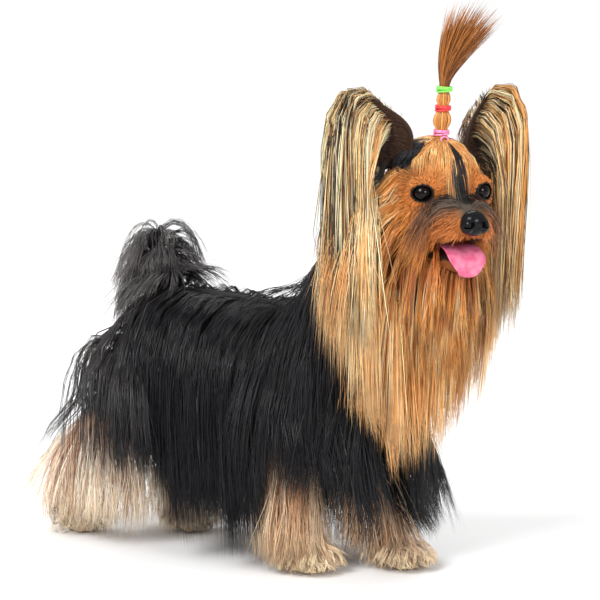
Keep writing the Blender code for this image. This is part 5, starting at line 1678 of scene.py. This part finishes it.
def make_eyes():
    """Dark wet eyes with a bulging front."""
    made, tree, shader = shaded("eye_wet", 0.05, Specular_IOR_Level=0.16)
    ramp = noise_colours(tree, shader, ((0.0015, 0.0012, 0.001), (0.008, 0.003, 0.002)), 300.0)
    ramp.color_ramp.elements[0].position = 0.45
    found = []
    for side, sign in SIDE_SIGNS.items():
        globe = ball("globe", (0, 0, 0), (EYE_RADIUS,) * 3, 40, 24, 0.0, eye_frame(sign))
        front = ball("front", (0.0029, 0, 0), (CORNEA_RADIUS,) * 3, 40, 24, 0.0, eye_frame(sign))
        eye = remeshed(joined("eyeball_" + side, [globe, front]), 0.00045, 8)
        placed(eye, made)
        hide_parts("eye_" + side)
        found.append(eye)
    return found


def make_nose():
    """The leather of the nose, with its wings, comma-shaped nostrils and middle line."""
    pieces = [ball("nose", NOSE_PLACE, NOSE_RADII, 32, 20, 0.0, HEAD)]
    for sign in (1, -1):
        centre = NOSE_PLACE + Vector((0.0015, 0.0062 * sign, -0.0018))
        pieces.append(ball("wing", centre, (0.0070, 0.0050, 0.0064), 24, 14, 0.0, HEAD))
    nose = remeshed(joined("nose_leather", pieces), 0.00045, 5)
    cuts = []
    for sign in (1, -1):
        hole = NOSE_PLACE + Vector((0.0085, 0.0046 * sign, -0.0008))
        cuts.append(ball("nostril", hole, (0.0045, 0.0020, 0.0024), 20, 12, 0.0, HEAD))
        slit = NOSE_PLACE + Vector((0.0066, 0.0080 * sign, -0.0030))
        cuts.append(ball("slit", slit, (0.0036, 0.0040, 0.0008), 20, 12, 0.0, HEAD))
    low = NOSE_PLACE + Vector((0.0076, -0.00025, -0.0120))
    cuts.append(block("line", low, NOSE_PLACE + Vector((0.0120, 0.00025, -0.0020)), HEAD))
    for cut in cuts:
        boolean(nose, [cut], "DIFFERENCE")
    made, tree, shader = shaded("nose_wet", 0.17, Specular_IOR_Level=0.12)
    noise_colours(tree, shader, ((0.004, 0.004, 0.0045), (0.009, 0.008, 0.009)), 700.0)
    bumped(tree, shader, 1400.0, 0.10, 0.0003, "cells")
    placed(nose, made)
    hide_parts("nose")
    return nose


def make_tongue():
    """A broad tongue, grooved along its middle, that droops over the lower lip."""
    path = smooth_values([HEAD @ Vector(p) for p in TONGUE_PATH], 6)
    halves = smooth_values([Vector((half, 0)) for half in TONGUE_HALVES], 6)
    rings = []
    count = 28
    for i, point in enumerate(path):
        ahead = (path[min(i + 1, len(path) - 1)] - path[max(i - 1, 0)]).normalized()
        up = ahead.cross(HEAD_SIDE)
        reach = TONGUE_THICK / 2
        points = ring(point, HEAD_SIDE, up, halves[i].x, reach, reach, count)
        for k in range(count):
            across = math.cos(2 * math.pi * k / count)
            dip = math.exp(-((across / 0.22) ** 2)) * TONGUE_THICK * 0.34
            points[k] -= up * (dip - 0.0016 * across**2)
        rings.append(points)
    ahead = (path[-1] - path[-2]).normalized()
    for turn in (0.45, 0.90, 1.25):
        share = math.cos(turn)
        middle = path[-1] + ahead * (0.0042 * math.sin(turn))
        reach = TONGUE_THICK / 2 * share**0.5
        rings.append(ring(middle, HEAD_SIDE, ahead.cross(HEAD_SIDE), halves[-1].x * share, reach, reach, count))
    tip = path[-1] + ahead * 0.0044
    root = path[0] + (path[0] - path[1]).normalized() * 0.0035
    tongue = sweep("tongue_flesh", rings, (root, tip))
    made, tree, shader = shaded("tongue_flesh", 0.40, Subsurface_Weight=0.20, Specular_IOR_Level=0.35)
    shader.inputs["Subsurface Radius"].default_value = (0.004, 0.0015, 0.001)
    noise_colours(tree, shader, ((0.50, 0.080, 0.160), (0.68, 0.19, 0.30)), 160.0)
    bumped(tree, shader, 1800.0, 0.35, 0.0003)
    placed(tongue, made)
    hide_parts("tongue")
    return tongue


def make_bands():
    """Three wound elastic bands; the lowest ends in a small loop at the front."""
    found = []
    looks = (
        ("band_pink", "band_lower", "pink_band", ((0.86, 0.16, 0.36), (0.92, 0.30, 0.50))),
        ("band_red", "band_middle", "red_band", ((0.72, 0.02, 0.03), (0.85, 0.06, 0.07))),
        ("band_green", "band_upper", "green_band", ((0.16, 0.72, 0.07), (0.28, 0.85, 0.14))),
    )
    for (name, node, slot, stops), z in zip(looks, BAND_PLACES):
        pieces = []
        middle = (BAND_INNER + BAND_OUTER) / 2
        for k, rise in enumerate((-0.00145, 0.0, 0.00145)):
            bm = bmesh.new()
            loops = []
            for a in range(40):
                angle = 2 * math.pi * a / 40
                level = z + rise + 0.0004 * math.sin(angle + k * 2.1)
                centre = Vector((0.005, KNOT_ACROSS + 0.07 * (level - 0.041), level))
                radial = Vector((math.cos(angle), math.sin(angle), 0))
                loop = []
                for b in range(8):
                    turned = 2 * math.pi * b / 8
                    spot = radial * (middle + 0.00078 * math.cos(turned)) + Vector((0, 0, 0.00078 * math.sin(turned)))
                    loop.append(bm.verts.new(HEAD @ (centre + spot)))
                loops.append(loop)
            for a in range(40):
                this, following = loops[a], loops[(a + 1) % 40]
                for b in range(8):
                    c = (b + 1) % 8
                    bm.faces.new((this[b], this[c], following[c], following[b]))
            pieces.append(object_of("wind", bm))
        if name == "band_pink":
            pieces.append(little_loop(z))
        band = joined(name, pieces)
        made, tree, shader = shaded(name, 0.42)
        noise_colours(tree, shader, stops, 500.0)
        bumped(tree, shader, 2500.0, 0.25, 0.0002)
        placed(band, made)
        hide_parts(node)
        found.append(band)
    return found


def little_loop(z):
    """The free end of the lowest band, a small ring that hangs at the front."""
    centre = Vector((0.0135, KNOT_ACROSS - 0.001, z - 0.0052))
    bm = bmesh.new()
    loops = []
    for a in range(24):
        angle = 2 * math.pi * a / 24
        radial = Vector((-0.25 * math.sin(angle), math.cos(angle), math.sin(angle)))
        spot = centre + Vector((radial.x * 0.0030, radial.y * 0.0030, radial.z * 0.0022))
        loop = []
        for b in range(8):
            turned = 2 * math.pi * b / 8
            loop.append(bm.verts.new(HEAD @ (spot + radial * (0.0007 * math.cos(turned))
                                             + Vector((0.0007 * math.sin(turned), 0, 0)))))
        loops.append(loop)
    for a in range(24):
        this, following = loops[a], loops[(a + 1) % 24]
        for b in range(8):
            c = (b + 1) % 8
            bm.faces.new((this[b], this[c], following[c], following[b]))
    return object_of("little_loop", bm)


def make_claws():
    """A short dark claw in front of each toe."""
    pieces = []
    for side, sign in SIDE_SIGNS.items():
        for x in (FRONT_PAWS[side], HIND_PAWS[side]):
            for k, across in enumerate((-0.0095, -0.0035, 0.0035, 0.0095)):
                ahead = 0.0215 if k in (1, 2) else 0.0172
                base = Vector((x + ahead - 0.001, LEG_SIDE * sign + across, 0.0072))
                path = (base, base + Vector((0.0026, 0, -0.0009)), base + Vector((0.0044, 0, -0.0036)))
                radii = ((0.0013, 0.0013), (0.0010, 0.0010), (0.0004, 0.0004))
                pieces.append(tube("claw", path, radii, 8, 3))
    claws = joined("claws", pieces)
    made, tree, shader = shaded("claw_horn", 0.35)
    noise_colours(tree, shader, ((0.020, 0.014, 0.012), (0.050, 0.038, 0.032)), 400.0)
    return placed(claws, made)


def finish_skin(obj, arrays):
    """Colours the skin as the coat that grows on it, with dark lids, lips and mouth."""
    mesh = obj.data
    colours = np.zeros((len(arrays.points), 3))
    weight = np.zeros(len(arrays.points))
    for row, name in enumerate(REGIONS):
        faces = np.nonzero(arrays.region == row)[0]
        corners = np.unique(arrays.corners[faces])
        if len(corners):
            colours[corners] += MARKS[name](arrays.points[corners]) * 0.55
            weight[corners] += 1
    colours /= np.maximum(weight[:, None], 1)
    p = in_head(arrays.points)
    colours = blend(colours, BLACK * 0.6, (lid_gap(arrays.points) < 1.24) * 1.0)
    mouth = (p[:, 0] > 0.002) & (p[:, 2] < -0.036) & (p[:, 2] > -0.053)
    colours = np.where(mouth[:, None], UMBER * 0.5, colours)
    tint = mesh.color_attributes.new("coat", "FLOAT_COLOR", "POINT")
    full = np.concatenate([colours, np.ones((len(colours), 1))], 1)
    tint.data.foreach_set("color", full.astype(np.float32).ravel())
    made = attribute_coat("skin_under_coat", 0.60, 0.25, 260.0, Specular_IOR_Level=0.15)
    bumped(made.node_tree, made.node_tree.nodes["Principled BSDF"], 900.0, 0.4, 0.0005)
    placed(obj, made)
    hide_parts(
        "torso_left", "torso_right", "neck", "head", "lower_jaw", "ear_left", "ear_right",
        "front_leg_left", "front_leg_right", "hind_leg_left", "hind_leg_right", "tail",
    )


# The whole

def make_coat(skin):
    """Every part of the coat, each hung over what lies beneath it."""
    black = attribute_coat("hair_black", 0.29, 0.30, 90.0, Specular_IOR_Level=0.30)
    gold = attribute_coat("hair_gold", 0.42, 0.16, 120.0, Specular_IOR_Level=0.35)
    made = {}
    body = surface_tree(torso_core() + neck_core() + leg_pieces(0.004))
    made["black_coat"] = torso_hair(skin, body, black)
    beneath = surface_tree(torso_core(0.012) + neck_core() + skull_pieces() + jaw_pieces())
    made["gold_coat"] = neck_hair(skin, beneath, gold)
    beneath = surface_tree(torso_core(0.022) + neck_core(0.016) + skull_pieces() + jaw_pieces())
    made["gold_coat"] += cheek_hair(skin, beneath, gold)
    face = surface_tree(skull_pieces())
    made["gold_coat"] += face_hair(skin, face, gold)
    made["gold_coat"] += crown_hair(skin, face, gold)
    beneath = surface_tree(torso_core(0.020) + neck_core(0.010) + jaw_pieces())
    made["gold_coat"] += jaw_hair(skin, beneath, gold)
    made["ear_coat"] = []
    made["tan_coat"] = []
    for side, sign in SIDE_SIGNS.items():
        tree = surface_tree(torso_core(0.032) + neck_core(0.032) + skull_pieces(0.018))
        made["ear_coat"] += ear_hair(sign, skin, tree, gold)
        made["tan_coat"] += leg_hair(side, "front", skin, surface_tree(front_leg_pieces(side)), gold)
        made["tan_coat"] += leg_hair(side, "hind", skin, surface_tree(hind_leg_pieces(side)), gold)
    made["grey_coat"] = tail_hair(skin, surface_tree(torso_core(0.012) + tail_core()), black)
    made["topknot_hair"] = knot_hair(skin, gold)
    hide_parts("topknot")
    return [piece for pieces in made.values() for piece in pieces]


def make_stage():
    """A pale floor, soft light and the camera."""
    bm = bmesh.new()
    bmesh.ops.create_grid(bm, x_segments=2, y_segments=2, size=12.0)
    floor = object_of("floor", bm)
    floor.location.z = -0.0002
    made, tree, shader = shaded("floor_pale", 0.8)
    noise_colours(tree, shader, ((0.90, 0.90, 0.90), (0.93, 0.93, 0.93)), 3.0)
    floor.data.materials.append(made)

    world = bpy.data.worlds.new("studio")
    world.use_nodes = True
    nodes, links = world.node_tree.nodes, world.node_tree.links
    plain = nodes["Background"]
    plain.inputs["Color"].default_value = (1.0, 1.0, 1.0, 1.0)
    plain.inputs["Strength"].default_value = 0.55
    seen = nodes.new("ShaderNodeBackground")
    seen.inputs["Color"].default_value = (1.0, 1.0, 1.0, 1.0)
    paths = nodes.new("ShaderNodeLightPath")
    either = nodes.new("ShaderNodeMixShader")
    links.new(paths.outputs["Is Camera Ray"], either.inputs["Fac"])
    links.new(plain.outputs["Background"], either.inputs[1])
    links.new(seen.outputs["Background"], either.inputs[2])
    links.new(either.outputs["Shader"], nodes["World Output"].inputs["Surface"])
    bpy.context.scene.world = world

    for name, place, kind, size, energy in (
        ("key", (0.30, -1.75, 1.55), "SUN", 0.45, 3.2),
        ("fill", (2.2, -0.6, 1.0), "AREA", 0.7, 22.0),
        ("top", (-0.6, 0.6, 2.0), "AREA", 1.2, 20.0),
    ):
        light = bpy.data.lights.new(name, kind)
        light.energy = energy
        if kind == "SUN":
            light.angle = size
        else:
            light.shape = "DISK"
            light.size = size
        lamp = bpy.data.objects.new(name, light)
        bpy.context.scene.collection.objects.link(lamp)
        lamp.location = place
        lamp.rotation_mode = "QUATERNION"
        lamp.rotation_quaternion = (Vector((0.05, 0, 0.2)) - Vector(place)).to_track_quat("-Z", "Y")

    camera = bpy.data.cameras.new("camera")
    camera.lens = 166.9
    camera.sensor_width = 36.0
    camera.clip_end = 40.0
    viewer = bpy.data.objects.new("camera", camera)
    bpy.context.scene.collection.objects.link(viewer)
    viewer.location = Vector((1.501, -1.709, 0.489)) - CENTRE
    flat = Vector((-0.643, 0.766, 0.0)).normalized()
    pitch = math.radians(7.03)
    look = flat * math.cos(pitch) + DOWN * math.sin(pitch)
    viewer.rotation_mode = "QUATERNION"
    viewer.rotation_quaternion = look.to_track_quat("-Z", "Y")
    bpy.context.scene.camera = viewer
    bpy.context.scene.view_settings.view_transform = "Standard"


def main():
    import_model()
    skin_object = make_skin()
    skin = Skin(skin_object)
    pieces = make_coat(skin)
    finish_skin(skin_object, skin)
    pieces.append(skin_object)
    pieces += make_eyes() + [make_nose(), make_tongue(), make_claws()] + make_bands()
    for piece in pieces:
        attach(piece, "root")
    make_stage()


main()
